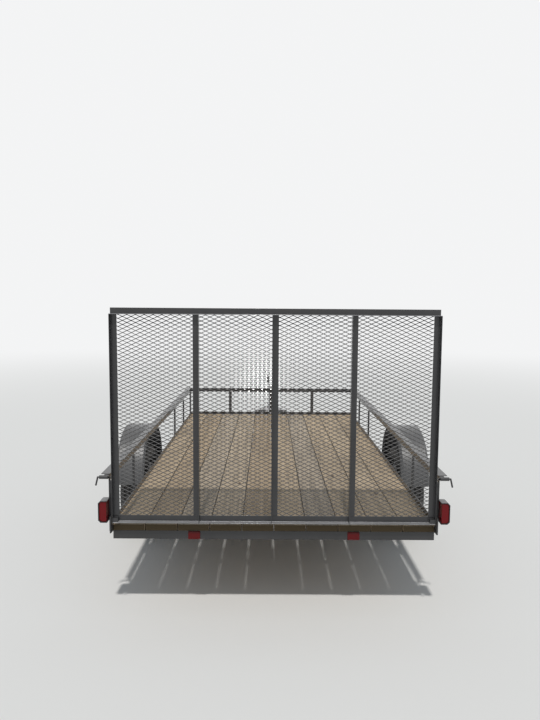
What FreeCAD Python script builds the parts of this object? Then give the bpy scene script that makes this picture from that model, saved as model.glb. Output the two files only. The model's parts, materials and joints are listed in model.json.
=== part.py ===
import FreeCAD, Part
import math
import os

os.makedirs("parts", exist_ok=True)
V = FreeCAD.Vector

# Utility trailer, 76 in by 12 ft bed, with a mesh ramp gate.  All sizes in millimetres.
# While it is drawn, y is 0 at the rear face of the bed and runs forward to the coupler,
# x is 0 on the centre line with the right side positive, and z is 0 on the ground.
# At export everything moves along y by Y_SHIFT, so the origin is under the middle.

# Heights: the tyre carries the axle, and the axle carries the deck
TYRE_R = 344.0          # 205/75 R15
AXLE_Z = TYRE_R
RIDE = 226.0            # top of the deck boards above the middle of the axle
DECK_Z = AXLE_Z + RIDE

# Bed
BED_LEN = 3658.0        # 12 ft
BED_HALF = 965.0        # half of 76 in
BOARD_T = 38.0          # a dressed 2 by 8 is 38 thick
BOARD_GAP = 6.0
BOARD_COUNT = 10
FRAME_T = 5.0           # thickness of the frame angles
RAIL_IN = BED_HALF + 1.0
RAIL_OUT = RAIL_IN + FRAME_T
LIP = 30.0              # how far the frame stands above the boards
LEG = 50.0              # flat leg of the frame angles
LEG_IN = RAIL_OUT - LEG
BOARD_Z = DECK_Z - BOARD_T
RAIL_Z = BOARD_Z - FRAME_T
SILL_H = 46.0           # web of the rear sill and of the crossmembers
SILL_Z = RAIL_Z - SILL_H
CROSS_COUNT = 8
CROSS_PITCH = BED_LEN / CROSS_COUNT

# Top rails and posts
TOP_H = 310.0           # top of the rails above the deck
TOP_Z = DECK_Z + TOP_H
TOP_T = 4.0
TOP_LEG = 40.0
TOP_FLAT = 52.0
POST = 35.0
POST_DEPTH = 18.0       # how far the side posts stand out from the frame
POST_T = 4.0
POST_OUT = RAIL_OUT + POST_DEPTH
POST_TOP = TOP_Z - TOP_T
TOP_HEEL = POST_OUT - POST_T - TOP_T    # inner face of the side top rails
POST_Y = (0.0, BED_LEN / 6, BED_LEN * 4 / 6, BED_LEN * 5 / 6, BED_LEN - POST)
FRONT_POST = BED_HALF / 2 + 14.0
TOP_END = BED_LEN + POST

# Ramp gate
GATE_HALF = BED_HALF - 5.0
GATE_H = 1297.0         # top of the gate above the deck
GATE_Z0 = DECK_Z + 24.0
GATE_Z1 = DECK_Z + GATE_H
GATE_T = 3.2
GATE_LEG = 38.0
GATE_Y = -11.0          # front face of the uprights, where the mesh lies
MESH_T = 3.0
MESH_LWD = 101.6        # mesh diamond width, twice the real one
MESH_SWD = 46.8         # mesh diamond height, twice the real one
MESH_STRAND = 6.5
HINGE_Y = -30.0
HINGE_Z = DECK_Z + 40.0
PIN_R = 6.35
FIT = 0.05              # room all round a pin in its hole

# Axle and springs
AXLE_Y = BED_LEN * 0.41
AXLE_R = 30.0
AXLE_HALF = BED_HALF + 40.0
WHEEL_X = BED_HALF + 163.0
SPINDLE_R = 17.5
SPINDLE_END = WHEEL_X + 37.0
SPRING_X = BED_HALF - 20.0
SPRING_W = 45.0
SPRING_HALF = 335.0
SPRING_ARCH = RIDE - 160.0
LEAF_T = 8.0
LEAF_R = (SPRING_HALF ** 2 + SPRING_ARCH ** 2) / (2 * SPRING_ARCH)
LEAVES = (1.0, 0.75, 0.54, 0.33)        # length of each leaf as a share of the longest

# Wheels
RIM_R = 190.5           # 15 in
RIM_W = 62.0
LUG_CIRCLE = 57.15
LUG_COUNT = 5
STUD_R = 6.35
WINDOW_COUNT = 8

# Fenders
FENDER_R = TYRE_R + 61.0
FENDER_T = 2.5
FENDER_Y = AXLE_Y
FENDER_Z = TOP_Z - TOP_T - 0.2 - FENDER_R
FENDER_X0 = WHEEL_X - 116.0
FENDER_X1 = WHEEL_X + 112.0
FENDER_ROUND = 18.0
FENDER_LIP = 38.0

# Tongue, coupler and jack
TONGUE_LEN = 1247.0     # front of the bed to the ball
BALL_Y = BED_LEN + TONGUE_LEN
BALL_R = 25.6
TONGUE_H = 76.0
TONGUE_W = 38.0
TONGUE_T = 5.0
TONGUE_TILT = 25.0
TONGUE_Z1 = SILL_Z
TONGUE_Z0 = TONGUE_Z1 - TONGUE_H
TONGUE_TIP = BALL_Y - 157.0
TONGUE_TIP_X = 60.0
TONGUE_BACK = BED_LEN - 508.0
JACK_Y = BALL_Y - 405.0
JACK_TUBE_R = 28.5
JACK_LEG_R = 22.25
JACK_TRAVEL = 280.0

# Safety chains
CHAIN_WIRE = 7.0
CHAIN_IN = 26.0         # clear length inside a link
CHAIN_WIDE = 10.0       # clear width inside a link
CHAIN_STEP = CHAIN_IN - 1.8
CHAIN_LINKS = 21        # an odd number, so both end links hang the same way
CHAIN_SPAN = 365.0      # between the two eyes, along the tongue

# Ends of the whole trailer along y
NOSE_R = 38.0
GUARD_D = 76.0
Y_FRONT = BALL_Y + NOSE_R
Y_REAR = -GUARD_D
Y_SHIFT = -(Y_FRONT + Y_REAR) / 2.0


def save(name, shape):
    """Moves a finished shape to the shared frame and writes its STEP file."""
    shape = shape.copy()
    shape.translate(V(0, Y_SHIFT, 0))
    shape.exportStep("parts/%s.step" % name)
    print(name, shape.ShapeType, len(shape.Solids), "solids", round(shape.Volume / 1000.0, 1), "cm3",
          "valid" if shape.isValid() else "NOT VALID")


def box(x0, x1, y0, y1, z0, z1):
    x0, x1 = min(x0, x1), max(x0, x1)
    return Part.makeBox(x1 - x0, y1 - y0, z1 - z0, V(x0, y0, z0))


def bar_x(radius, x0, x1, y, z):
    """A round bar along x."""
    return Part.makeCylinder(radius, abs(x1 - x0), V(min(x0, x1), y, z), V(1, 0, 0))


def bar(radius, start, end):
    """A round bar from one point to another."""
    start, end = V(*start), V(*end)
    return Part.makeCylinder(radius, (end - start).Length, start, end - start)


def rod(radius, points):
    """A round rod through several points, with a ball at each bend."""
    pieces = [bar(radius, a, b) for a, b in zip(points, points[1:])]
    pieces += [Part.makeSphere(radius, V(*p)) for p in points[1:-1]]
    return fuse(pieces)


def fuse(pieces):
    result = pieces[0]
    if len(pieces) > 1:
        result = result.multiFuse(pieces[1:])
    return result.removeSplitter()


def prism(points, direction):
    """A solid from a flat outline and the vector it is pushed along."""
    outline = [V(*p) for p in points]
    return Part.Face(Part.makePolygon(outline + [outline[0]])).extrude(V(*direction))


def turned(points, y, z):
    """Turns an outline of (x, radius) pairs about an axis along x."""
    outline = [V(px, y, z + pr) for px, pr in points]
    face = Part.Face(Part.makePolygon(outline + [outline[0]]))
    return face.revolve(V(0, y, z), V(1, 0, 0), 360)


def around(y, z, radius, degrees):
    """A place (y, z) on a circle about a middle, as used on the wheels."""
    a = math.radians(degrees)
    return y + radius * math.cos(a), z + radius * math.sin(a)


def mirrored(shape):
    return shape.mirror(V(0, 0, 0), V(1, 0, 0))


def both(name, shape):
    """Saves a shape of the right side and its mirror image on the left."""
    save(name + "_right", shape)
    save(name + "_left", mirrored(shape))


# Deck boards, lengthwise
board_w = (2 * BED_HALF - (BOARD_COUNT - 1) * BOARD_GAP) / BOARD_COUNT
boards = []
for i in range(BOARD_COUNT):
    x0 = -BED_HALF + i * (board_w + BOARD_GAP)
    boards.append(box(x0, x0 + board_w, 0, BED_LEN - FRAME_T - 2, BOARD_Z, DECK_Z))
save("deck_boards", Part.makeCompound(boards))

# Bed frame: side rails with a lip above the boards, sills and crossmembers
side_rail = fuse([
    box(RAIL_IN, RAIL_OUT, 0, BED_LEN, RAIL_Z, DECK_Z + LIP),
    box(LEG_IN, RAIL_IN, 0, BED_LEN, RAIL_Z, BOARD_Z),
])
both("side_rail", side_rail)
front_sill = fuse([
    box(-RAIL_IN, RAIL_IN, BED_LEN - FRAME_T, BED_LEN, BOARD_Z, DECK_Z + LIP),
    box(-LEG_IN, LEG_IN, BED_LEN - FRAME_T, BED_LEN, RAIL_Z, BOARD_Z),
    box(-LEG_IN, LEG_IN, BED_LEN - LEG, BED_LEN - FRAME_T, RAIL_Z, BOARD_Z),
])
save("front_sill", front_sill)
rear_sill = fuse([
    box(-RAIL_IN, RAIL_IN, 0, FRAME_T, SILL_Z, RAIL_Z),
    box(-LEG_IN, LEG_IN, 0, LEG, RAIL_Z, BOARD_Z),
])
save("rear_sill", rear_sill)
cross_y = [CROSS_PITCH * n for n in range(1, CROSS_COUNT)] + [BED_LEN - 2 * LEG - 10]
crossmembers = []
for y in cross_y:
    crossmembers.append(fuse([
        box(-LEG_IN, LEG_IN, y, y + LEG, RAIL_Z, BOARD_Z),
        box(-LEG_IN + 14, LEG_IN - 14, y, y + FRAME_T, SILL_Z, RAIL_Z),
    ]))
save("crossmembers", Part.makeCompound(crossmembers))

# Posts: angles with the heel outward, lapped over the outside of the top rails
side_posts = []
for y in POST_Y:
    side_posts.append(fuse([
        box(POST_OUT - POST_T, POST_OUT, y, y + POST, RAIL_Z, POST_TOP),
        box(RAIL_OUT, POST_OUT, y, y + POST_T, RAIL_Z, TOP_Z - TOP_LEG),
    ]))
both("posts", Part.makeCompound(side_posts))
front_posts = []
for x in (-FRONT_POST, 0.0, FRONT_POST):
    front_posts.append(fuse([
        box(x - POST / 2, x + POST / 2, BED_LEN, BED_LEN + POST_T, RAIL_Z, POST_TOP),
        box(x - POST / 2, x - POST / 2 + POST_T, BED_LEN, TOP_END, RAIL_Z, POST_TOP),
    ]))
save("posts_front", Part.makeCompound(front_posts))

# Top rails: angles with the heel at the posts and the flat leg pointing outward
top_rail = fuse([
    box(TOP_HEEL, TOP_HEEL + TOP_T, 0, TOP_END, TOP_Z - TOP_LEG, TOP_Z),
    box(TOP_HEEL, TOP_HEEL + TOP_FLAT, 0, TOP_END, TOP_Z - TOP_T, TOP_Z),
])
both("top_rail", top_rail)
top_front = fuse([
    box(-TOP_HEEL - TOP_T, TOP_HEEL + TOP_T, TOP_END, TOP_END + TOP_T, TOP_Z - TOP_LEG, TOP_Z),
    box(-TOP_HEEL - TOP_FLAT, TOP_HEEL + TOP_FLAT, TOP_END, TOP_END + TOP_LEG, TOP_Z - TOP_T, TOP_Z),
])
save("top_rail_front", top_front)

# Tongue: two channels, flanges inward, that meet at the coupler
tilt = math.radians(TONGUE_TILT)
tongue_len = (TONGUE_TIP - TONGUE_BACK) / math.cos(tilt)
channel = fuse([
    box(-TONGUE_T, 0, 0, tongue_len, 0, TONGUE_H),
    box(-TONGUE_W, -TONGUE_T, 0, tongue_len, TONGUE_H - TONGUE_T, TONGUE_H),
    box(-TONGUE_W, -TONGUE_T, 0, tongue_len, 0, TONGUE_T),
])
channel.rotate(V(0, 0, 0), V(0, 0, 1), TONGUE_TILT)
channel.translate(V(TONGUE_TIP_X + (TONGUE_TIP - TONGUE_BACK) * math.tan(tilt), TONGUE_BACK, TONGUE_Z0))
# the square ends run a little past the tip line, which the coupler covers
both("tongue", channel)


def tongue_x(y):
    """Outer face of the right tongue channel at a place along the trailer."""
    return TONGUE_TIP_X + (TONGUE_TIP - y) * math.tan(tilt)


# Coupler: plate over the channels, cheeks outside them, and a nose with the ball socket
CPL_BACK = BALL_Y - 295.0
CPL_END = BALL_Y - 105.0
CPL_Z = TONGUE_Z1
CPL_T = 6.0
cpl_x0, cpl_x1 = tongue_x(CPL_BACK), tongue_x(CPL_END)
nose_x = NOSE_R - 4.0
plate = prism([(-cpl_x0 - CPL_T, CPL_BACK, CPL_Z), (cpl_x0 + CPL_T, CPL_BACK, CPL_Z),
               (cpl_x1 + CPL_T, CPL_END, CPL_Z), (nose_x, BALL_Y, CPL_Z), (-nose_x, BALL_Y, CPL_Z),
               (-cpl_x1 - CPL_T, CPL_END, CPL_Z)], (0, 0, CPL_T))
cheek = prism([(cpl_x0 + 0.2, CPL_BACK, CPL_Z - 60), (cpl_x0 + CPL_T, CPL_BACK, CPL_Z - 60),
               (cpl_x1 + CPL_T, CPL_END, CPL_Z - 60), (cpl_x1 + 0.2, CPL_END, CPL_Z - 60)], (0, 0, 66))
nose = []
for s in (-1, 1):
    nose.append(box(s * (nose_x - 6), s * (cpl_x1 + 3), CPL_END - 6, BALL_Y, CPL_Z - 42, CPL_Z + 2))
dome = Part.makeCylinder(NOSE_R, 34, V(0, BALL_Y, CPL_Z - 42))
dome = dome.fuse(Part.makeSphere(NOSE_R, V(0, BALL_Y, CPL_Z - 8)))
dome = dome.cut(box(-60, 60, BALL_Y - 60, BALL_Y + 60, CPL_Z - 90, CPL_Z - 42))
collar = Part.makeCylinder(NOSE_R, 6, V(0, BALL_Y, CPL_Z - 42))
spine = [box(-14, 14, BALL_Y - 190, BALL_Y - 20, CPL_Z, CPL_Z + 20),
         box(-9, 9, BALL_Y - 178, BALL_Y - 62, CPL_Z + 26, CPL_Z + 32),
         box(-9, 9, BALL_Y - 84, BALL_Y - 62, CPL_Z + 4, CPL_Z + 30),
         bar_x(5, -19, 19, BALL_Y - 73, CPL_Z + 22)]
coupler = fuse([plate, cheek, mirrored(cheek)] + nose + [dome, collar] + spine)
socket = Part.makeCylinder(BALL_R, 28, V(0, BALL_Y, CPL_Z - 42))
socket = socket.fuse(Part.makeSphere(BALL_R, V(0, BALL_Y, CPL_Z - 14)))
coupler = coupler.cut(socket)
save("coupler", coupler)

# Jack: plate on the tongue with the outer tube and head, an inner leg with a foot, and a crank
JACK_Z0 = TONGUE_Z1 - 81.0
JACK_Z1 = TONGUE_Z1 + 314.0
JACK_BACK, JACK_FRONT = JACK_Y - 80, JACK_Y + 90
jack_plate = prism([(-tongue_x(JACK_BACK), JACK_BACK, TONGUE_Z1), (tongue_x(JACK_BACK), JACK_BACK, TONGUE_Z1),
                    (tongue_x(JACK_FRONT), JACK_FRONT, TONGUE_Z1),
                    (-tongue_x(JACK_FRONT), JACK_FRONT, TONGUE_Z1)], (0, 0, 8))
jack_collar = Part.makeCone(JACK_TUBE_R + 9, JACK_TUBE_R + 3, 14, V(0, JACK_Y, TONGUE_Z1 + 8))
jack_tube = Part.makeCylinder(JACK_TUBE_R, JACK_Z1 - JACK_Z0, V(0, JACK_Y, JACK_Z0))
jack_head = [Part.makeCylinder(JACK_TUBE_R + 4.5, 22, V(0, JACK_Y, JACK_Z1 - 16)),
             Part.makeCone(JACK_TUBE_R + 4.5, JACK_TUBE_R - 8, 4, V(0, JACK_Y, JACK_Z1 + 6))]
jack_housing = fuse([jack_plate, jack_collar, jack_tube] + jack_head)
jack_bore = Part.makeCylinder(JACK_LEG_R + FIT, JACK_Z1 - 20 - JACK_Z0, V(0, JACK_Y, JACK_Z0))
save("jack_housing", jack_housing.cut(jack_bore))
jack_leg = fuse([
    Part.makeCylinder(JACK_LEG_R, JACK_Z0 + 62, V(0, JACK_Y, 8)),
    Part.makeCylinder(60, 6, V(0, JACK_Y, 0)),
    Part.makeCone(34, 26, 18, V(0, JACK_Y, 5)),
])
jack_leg = jack_leg.cut(Part.makeCylinder(JACK_LEG_R - 3.5, JACK_Z0 + 40, V(0, JACK_Y, 40)))
save("jack_leg", jack_leg)
CRANK_Z = JACK_Z1 + 10.0
CRANK_ARM = 120.0
crank = fuse([
    Part.makeCylinder(9, 16, V(0, JACK_Y, CRANK_Z)),
    box(-9, 9, JACK_Y - 9, JACK_Y + CRANK_ARM + 10, CRANK_Z + 10, CRANK_Z + 16),
    Part.makeCylinder(6, 24, V(0, JACK_Y + CRANK_ARM, CRANK_Z + 12)),
    Part.makeCylinder(12, 82, V(0, JACK_Y + CRANK_ARM, CRANK_Z + 30)),
    Part.makeCone(12, 9, 4, V(0, JACK_Y + CRANK_ARM, CRANK_Z + 112)),
])
crank.rotate(V(0, JACK_Y, 0), V(0, 0, 1), 20)
save("jack_crank", crank)

# Axle with a pad under each spring and a spindle at each end
pad_z = AXLE_Z + AXLE_R + 5.0
pads = []
for s in (-1, 1):
    pads.append(box(s * SPRING_X - 25, s * SPRING_X + 25, AXLE_Y - 30, AXLE_Y + 30, AXLE_Z + 15, pad_z))
axle = fuse([bar_x(AXLE_R, -AXLE_HALF, AXLE_HALF, AXLE_Y, AXLE_Z),
             bar_x(SPINDLE_R, -SPINDLE_END, SPINDLE_END, AXLE_Y, AXLE_Z)] + pads)
save("axle", axle)

# Leaf spring: stacked arcs, an eye at the front end, a plain slipper end at the rear
curve_z = pad_z + LEAF_R + LEAF_T * len(LEAVES)
sx0, sx1 = SPRING_X - SPRING_W / 2, SPRING_X + SPRING_W / 2


def curve_at(half):
    """Height of the inner face of the longest leaf, this far along from the axle."""
    return curve_z - math.sqrt(LEAF_R ** 2 - half ** 2)


def leaf(index, half):
    """One leaf: part of a ring between two radii, as wide as the spring."""
    r0 = LEAF_R + index * LEAF_T
    r1 = r0 + LEAF_T
    a = math.asin(half / r0)
    mid0, mid1 = V(sx0, AXLE_Y, curve_z - r0), V(sx0, AXLE_Y, curve_z - r1)
    p = [V(sx0, AXLE_Y + s * r * math.sin(a), curve_z - r * math.cos(a)) for s, r in
         ((-1, r0), (1, r0), (1, r1), (-1, r1))]
    wire = Part.Wire([Part.Arc(p[0], mid0, p[1]).toShape(), Part.makeLine(p[1], p[2]),
                      Part.Arc(p[2], mid1, p[3]).toShape(), Part.makeLine(p[3], p[0])])
    return Part.Face(wire).extrude(V(SPRING_W, 0, 0))


EYE_Y = AXLE_Y + SPRING_HALF
EYE_Z = curve_at(SPRING_HALF) + 9.0
spring = fuse([leaf(i, share * SPRING_HALF) for i, share in enumerate(LEAVES)]
              + [bar_x(16, sx0, sx1, EYE_Y, EYE_Z)])
spring = spring.cut(bar_x(8.2, sx0 - 5, sx1 + 5, EYE_Y, EYE_Z))
both("spring", spring)

# Spring hangers under the side rails
hx0, hx1 = sx0 - 1.5, sx1 + 1.5


def hanger(y, half, low_z):
    """Two cheeks and a top plate, open below for the spring."""
    return [
        box(hx0 - 5, hx0, y - half, y + half, low_z, RAIL_Z),
        box(hx1, hx1 + 5, y - half, y + half, low_z, RAIL_Z),
        box(hx0 - 5, hx1 + 5, y - half, y + half, RAIL_Z - 5, RAIL_Z),
    ]


both("hanger_front", fuse(hanger(EYE_Y, 28, EYE_Z - 18) + [bar_x(8, hx0 - 12, hx1 + 12, EYE_Y, EYE_Z)]))
SLIP = SPRING_HALF - 20.0
SLIP_Y = AXLE_Y - SLIP
SLIP_Z = curve_at(SLIP)
rear_hanger = fuse(hanger(SLIP_Y, 30, SLIP_Z - 42) + [
    box(hx0 - 1, hx1 + 1, SLIP_Y - 16, SLIP_Y + 16, curve_at(SLIP + 16), RAIL_Z),
    bar_x(7, hx0 - 12, hx1 + 12, SLIP_Y, SLIP_Z - 30),
])
both("hanger_rear", rear_hanger)

# Spring clamps: a plate on the spring and two U-bolts round the axle
clamp_z = curve_z - LEAF_R
clamp = [box(SPRING_X - 38, SPRING_X + 38, AXLE_Y - 50, AXLE_Y + 50, clamp_z + 1.5, clamp_z + 9)]
u_r = AXLE_R + 6.5
for x in (SPRING_X - 29, SPRING_X + 29):
    half_ring = Part.makeTorus(u_r, 6, V(x, AXLE_Y, AXLE_Z), V(1, 0, 0))
    half_ring = half_ring.common(box(x - 10, x + 10, AXLE_Y - 60, AXLE_Y + 60, AXLE_Z - 60, AXLE_Z))
    clamp.append(half_ring)
    for y in (AXLE_Y - u_r, AXLE_Y + u_r):
        clamp.append(Part.makeCylinder(6, clamp_z + 28 - AXLE_Z, V(x, y, AXLE_Z)))
        clamp.append(Part.makeCylinder(9, 9, V(x, y, clamp_z + 8)))
both("spring_clamp", fuse(clamp))

# Fenders: half round, rolled over at the outer edge
ROLL_STEPS = 6
outline = [(FENDER_X0, FENDER_R), (FENDER_X1 - FENDER_ROUND, FENDER_R)]
for k in range(1, ROLL_STEPS + 1):
    a = math.radians(90.0 * k / ROLL_STEPS)
    outline.append((FENDER_X1 - FENDER_ROUND * (1 - math.sin(a)), FENDER_R - FENDER_ROUND * (1 - math.cos(a))))
outline.append((FENDER_X1, FENDER_R - FENDER_LIP))
outline.append((FENDER_X1 - FENDER_T, FENDER_R - FENDER_LIP))
inner_round = FENDER_ROUND - FENDER_T
for k in range(ROLL_STEPS, -1, -1):
    a = math.radians(90.0 * k / ROLL_STEPS)
    outline.append((FENDER_X1 - FENDER_ROUND + inner_round * math.sin(a),
                    FENDER_R - FENDER_T - inner_round * (1 - math.cos(a))))
outline.append((FENDER_X0, FENDER_R - FENDER_T))
points = [V(px, FENDER_Y - pr, FENDER_Z) for px, pr in outline]
fender = Part.Face(Part.makePolygon(points + [points[0]])).revolve(V(0, FENDER_Y, FENDER_Z), V(1, 0, 0), -180)
both("fender", fender)

# Fender brackets: flat bars from the side rail to the lower ends of the fender
inside = Part.makeCylinder(FENDER_R - FENDER_T, FENDER_X1, V(0, FENDER_Y, FENDER_Z), V(1, 0, 0))
brackets = []
for s in (-1, 1):
    y_edge = FENDER_Y + s * (FENDER_R - FENDER_T)
    y0, y1 = min(y_edge, y_edge - s * 8), max(y_edge, y_edge - s * 8)
    arm = box(RAIL_OUT, FENDER_X1 - FENDER_ROUND, y0, y1, FENDER_Z, FENDER_Z + 40).common(inside)
    foot = box(RAIL_OUT, RAIL_OUT + 6, y0 - 15, y1 + 15, FENDER_Z, RAIL_Z + 40)
    brackets.append(fuse([arm, foot]))
both("fender_brackets", Part.makeCompound(brackets))

# Ramp gate: top and bottom bars, five uprights, all of angle
gy0, gy1 = GATE_Y - GATE_T, GATE_Y
leg_y = GATE_Y - GATE_LEG
up_z1 = GATE_Z1 - GATE_LEG
top_bar = fuse([
    box(-GATE_HALF, GATE_HALF, gy0, gy1, up_z1, GATE_Z1),
    box(-GATE_HALF, GATE_HALF, leg_y, gy1, up_z1, up_z1 + GATE_T),
])
save("gate_top_bar", top_bar)
bar_half = GATE_HALF - GATE_T
eye_y0, eye_z1 = HINGE_Y - 12.0, HINGE_Z + 12.0
bottom = [
    box(-bar_half, bar_half, gy0, gy1, GATE_Z0, GATE_Z0 + GATE_LEG),
    box(-bar_half, bar_half, leg_y, gy1, GATE_Z0, GATE_Z0 + GATE_T),
]
for s in (-1, 1):
    bottom.append(box(s * (bar_half - 30), s * bar_half, eye_y0, gy1, GATE_Z0, eye_z1))
    bottom.append(bar_x(PIN_R, s * (bar_half - 5), s * (RAIL_OUT + 5), HINGE_Y, HINGE_Z))
save("gate_bottom_bar", fuse(bottom))
# left edge of the in-plane leg, and which edge carries the rearward leg (-1 left, 1 right)
UPRIGHTS = (
    (-GATE_HALF, -1),
    (-GATE_HALF / 2 - 2, 1),
    (-18.0, -1),
    (GATE_HALF / 2 - 36, -1),
    (GATE_HALF - GATE_LEG, 1),
)
uprights = []
for x, side in UPRIGHTS:
    edge = x if side < 0 else x + GATE_LEG - GATE_T
    if abs(x) > GATE_HALF * 0.9:
        piece = fuse([
            box(x, x + GATE_LEG, gy0, gy1, GATE_Z0 + GATE_LEG, up_z1),
            box(edge, edge + GATE_T, leg_y, gy1, GATE_Z0, up_z1),
        ])
        piece = piece.cut(bar_x(PIN_R + FIT, x - 5, x + GATE_LEG + 5, HINGE_Y, HINGE_Z))
        x0, x1 = max(x, -bar_half), min(x + GATE_LEG, bar_half)
        piece = piece.cut(box(x0, x1, eye_y0, gy1, GATE_Z0, eye_z1))
    else:
        piece = fuse([
            box(x, x + GATE_LEG, gy0, gy1, GATE_Z0 + GATE_LEG, up_z1),
            box(edge, edge + GATE_T, leg_y, gy0, GATE_Z0 + GATE_T, up_z1),
        ])
    uprights.append(piece)
save("gate_uprights", Part.makeCompound(uprights))

# Gate mesh: four thin sheets with diamond holes, one between each pair of uprights
MESH_EDGE = 10.0        # plain strip along each edge, hidden behind the bars
hole_w = MESH_LWD / 2 - MESH_STRAND
hole_h = MESH_SWD / 2 - MESH_STRAND * 0.6
mesh_z0, mesh_z1 = GATE_Z0 + 4, GATE_Z1 - 4


def cut_off(points, axis, limit, side):
    """Cuts an outline of (x, z) points along a line, and keeps the part below it (side 1) or above it (-1)."""
    kept = []
    for p, q in zip(points, points[1:] + points[:1]):
        p_in, q_in = side * (limit - p[axis]) > 0, side * (limit - q[axis]) > 0
        if p_in:
            kept.append(p)
        if p_in != q_in:
            t = (limit - p[axis]) / (q[axis] - p[axis])
            kept.append((p[0] + t * (q[0] - p[0]), p[1] + t * (q[1] - p[1])))
    return kept


def loop(points):
    flat = [V(px, GATE_Y, pz) for px, pz in points]
    return Part.makePolygon(flat + [flat[0]])


def sheet(x0, x1):
    """One sheet from x0 to x1; holes that cross its plain edge strip are cut short there."""
    holes = [loop([(x0, mesh_z0), (x1, mesh_z0), (x1, mesh_z1), (x0, mesh_z1)])]
    for r in range(int((mesh_z1 - mesh_z0) / (MESH_SWD / 2)) + 2):
        zc = mesh_z0 + r * MESH_SWD / 2
        for c in range(int(x0 / MESH_LWD) - 2, int(x1 / MESH_LWD) + 3):
            xc = (c + 0.5 * (r % 2)) * MESH_LWD
            hole = [(xc - hole_w, zc), (xc, zc + hole_h), (xc + hole_w, zc), (xc, zc - hole_h)]
            hole = cut_off(cut_off(hole, 0, x0 + MESH_EDGE, -1), 0, x1 - MESH_EDGE, 1)
            hole = cut_off(cut_off(hole, 1, mesh_z0 + MESH_EDGE, -1), 1, mesh_z1 - MESH_EDGE, 1)
            xs, zs = [px for px, pz in hole], [pz for px, pz in hole]
            if len(hole) > 2 and max(xs) - min(xs) > 3 and max(zs) - min(zs) > 3:
                holes.append(loop(hole))
    return Part.Face(holes).extrude(V(0, MESH_T, 0))


middles = [x + GATE_LEG / 2 for x, side in UPRIGHTS[1:-1]]
mesh_x = [-GATE_HALF + 3] + middles + [GATE_HALF - 3]
save("gate_mesh", Part.makeCompound([sheet(a + 1, b - 1) for a, b in zip(mesh_x, mesh_x[1:])]))

# Hinge brackets on the frame
hinge_bracket = box(RAIL_IN, RAIL_IN + 8, HINGE_Y - 18, 0, BOARD_Z, HINGE_Z + 22)
hinge_bracket = hinge_bracket.cut(bar_x(PIN_R + FIT, RAIL_IN - 5, RAIL_IN + 15, HINGE_Y, HINGE_Z))
both("hinge_bracket", hinge_bracket)

# Spring latches behind the corner posts
LATCH_Z = TOP_Z - 13.0
LATCH_Y = -28.0
LATCH_END = RAIL_OUT + 74.0
latch = fuse([
    bar_x(11, TOP_HEEL + 3, TOP_HEEL + 54, LATCH_Y, LATCH_Z),
    box(TOP_HEEL + 1, TOP_HEEL + 30, LATCH_Y, 0, LATCH_Z - 9, LATCH_Z + 9),
    rod(5, [(RAIL_IN, LATCH_Y, LATCH_Z), (LATCH_END, LATCH_Y, LATCH_Z), (LATCH_END + 12, LATCH_Y, LATCH_Z - 50)]),
])
both("latch", latch)

# Tail light guards: bent plate, open to the rear and toward the gate, and the lenses
GUARD_X0, GUARD_X1 = RAIL_OUT + 11.0, POST_OUT + 45.0
GUARD_Z0, GUARD_Z1 = DECK_Z + 36.0, DECK_Z + 167.0
GUARD_CUT = 14.0
GUARD_T = 4.0


def guard_prism(inset, x0, y, depth):
    """The guard's outline with two cut corners, moved in by an inset, and pushed to the rear."""
    cut = GUARD_CUT - inset * 0.4
    x1, z0, z1 = GUARD_X1 - inset, GUARD_Z0 + inset, GUARD_Z1 - inset
    return prism([(x0, y, z0), (x1 - cut, y, z0), (x1, y, z0 + cut), (x1, y, z1 - cut), (x1 - cut, y, z1),
                  (x0, y, z1)], (0, -depth, 0))


guard = guard_prism(0, GUARD_X0, 0, GUARD_D).cut(guard_prism(GUARD_T, GUARD_X0 - 5, -GUARD_T, GUARD_D))
both("light_guard", guard)
both("tail_light", guard_prism(GUARD_T + 3, GUARD_X0 + 7, -GUARD_T, 40))
REFLECTOR_X = BED_HALF / 2 - 3.5
both("reflector", box(REFLECTOR_X - 36, REFLECTOR_X + 36, -7, 0, SILL_Z + 1, BOARD_Z - 2))

# Wheels: hub with studs and nuts, rim with windows, tyre
wx = WHEEL_X
hub = turned([(wx - 116, SPINDLE_R + FIT), (wx - 116, 38), (wx - 14, 38), (wx - 14, 76), (wx - 6, 76), (wx - 6, 31),
              (wx + 44, 31), (wx + 52, 27), (wx + 52, 0), (wx + 38, 0), (wx + 38, SPINDLE_R + FIT)], AXLE_Y, AXLE_Z)
lug_places = [around(AXLE_Y, AXLE_Z, LUG_CIRCLE, 90 + 360.0 * k / LUG_COUNT) for k in range(LUG_COUNT)]
nuts = []
for ny, nz in lug_places:
    nuts.append(bar_x(STUD_R, wx - 10, wx + 26, ny, nz))
    corners = [around(ny, nz, 11.5, 60 * j) for j in range(6)]
    nuts.append(prism([(wx + 0.2, cy, cz) for cy, cz in corners], (18, 0, 0)))
both("hub", fuse([hub] + nuts))

rim = turned([(wx - 6, 41), (wx, 41), (wx, 88), (wx + 12, 108), (wx + 12, 124), (wx - 8, 158), (wx - 6, 162),
              (wx + 23, 162), (wx + 34, 182), (wx + 66, 186), (wx + 67, 204), (wx + 67, 207), (wx + 62, 207),
              (wx + 62, RIM_R - 1), (wx + 32, 186), (wx + 20, 166), (wx - 26, 166), (wx - 34, 186),
              (wx - 62, RIM_R - 1), (wx - 62, 207), (wx - 67, 207), (wx - 67, 204), (wx - 66, 186), (wx - 36, 182),
              (wx - 28, 162), (wx - 14, 162), (wx - 14, 158), (wx + 6, 122), (wx + 6, 110), (wx - 6, 91)],
             AXLE_Y, AXLE_Z)
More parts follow.
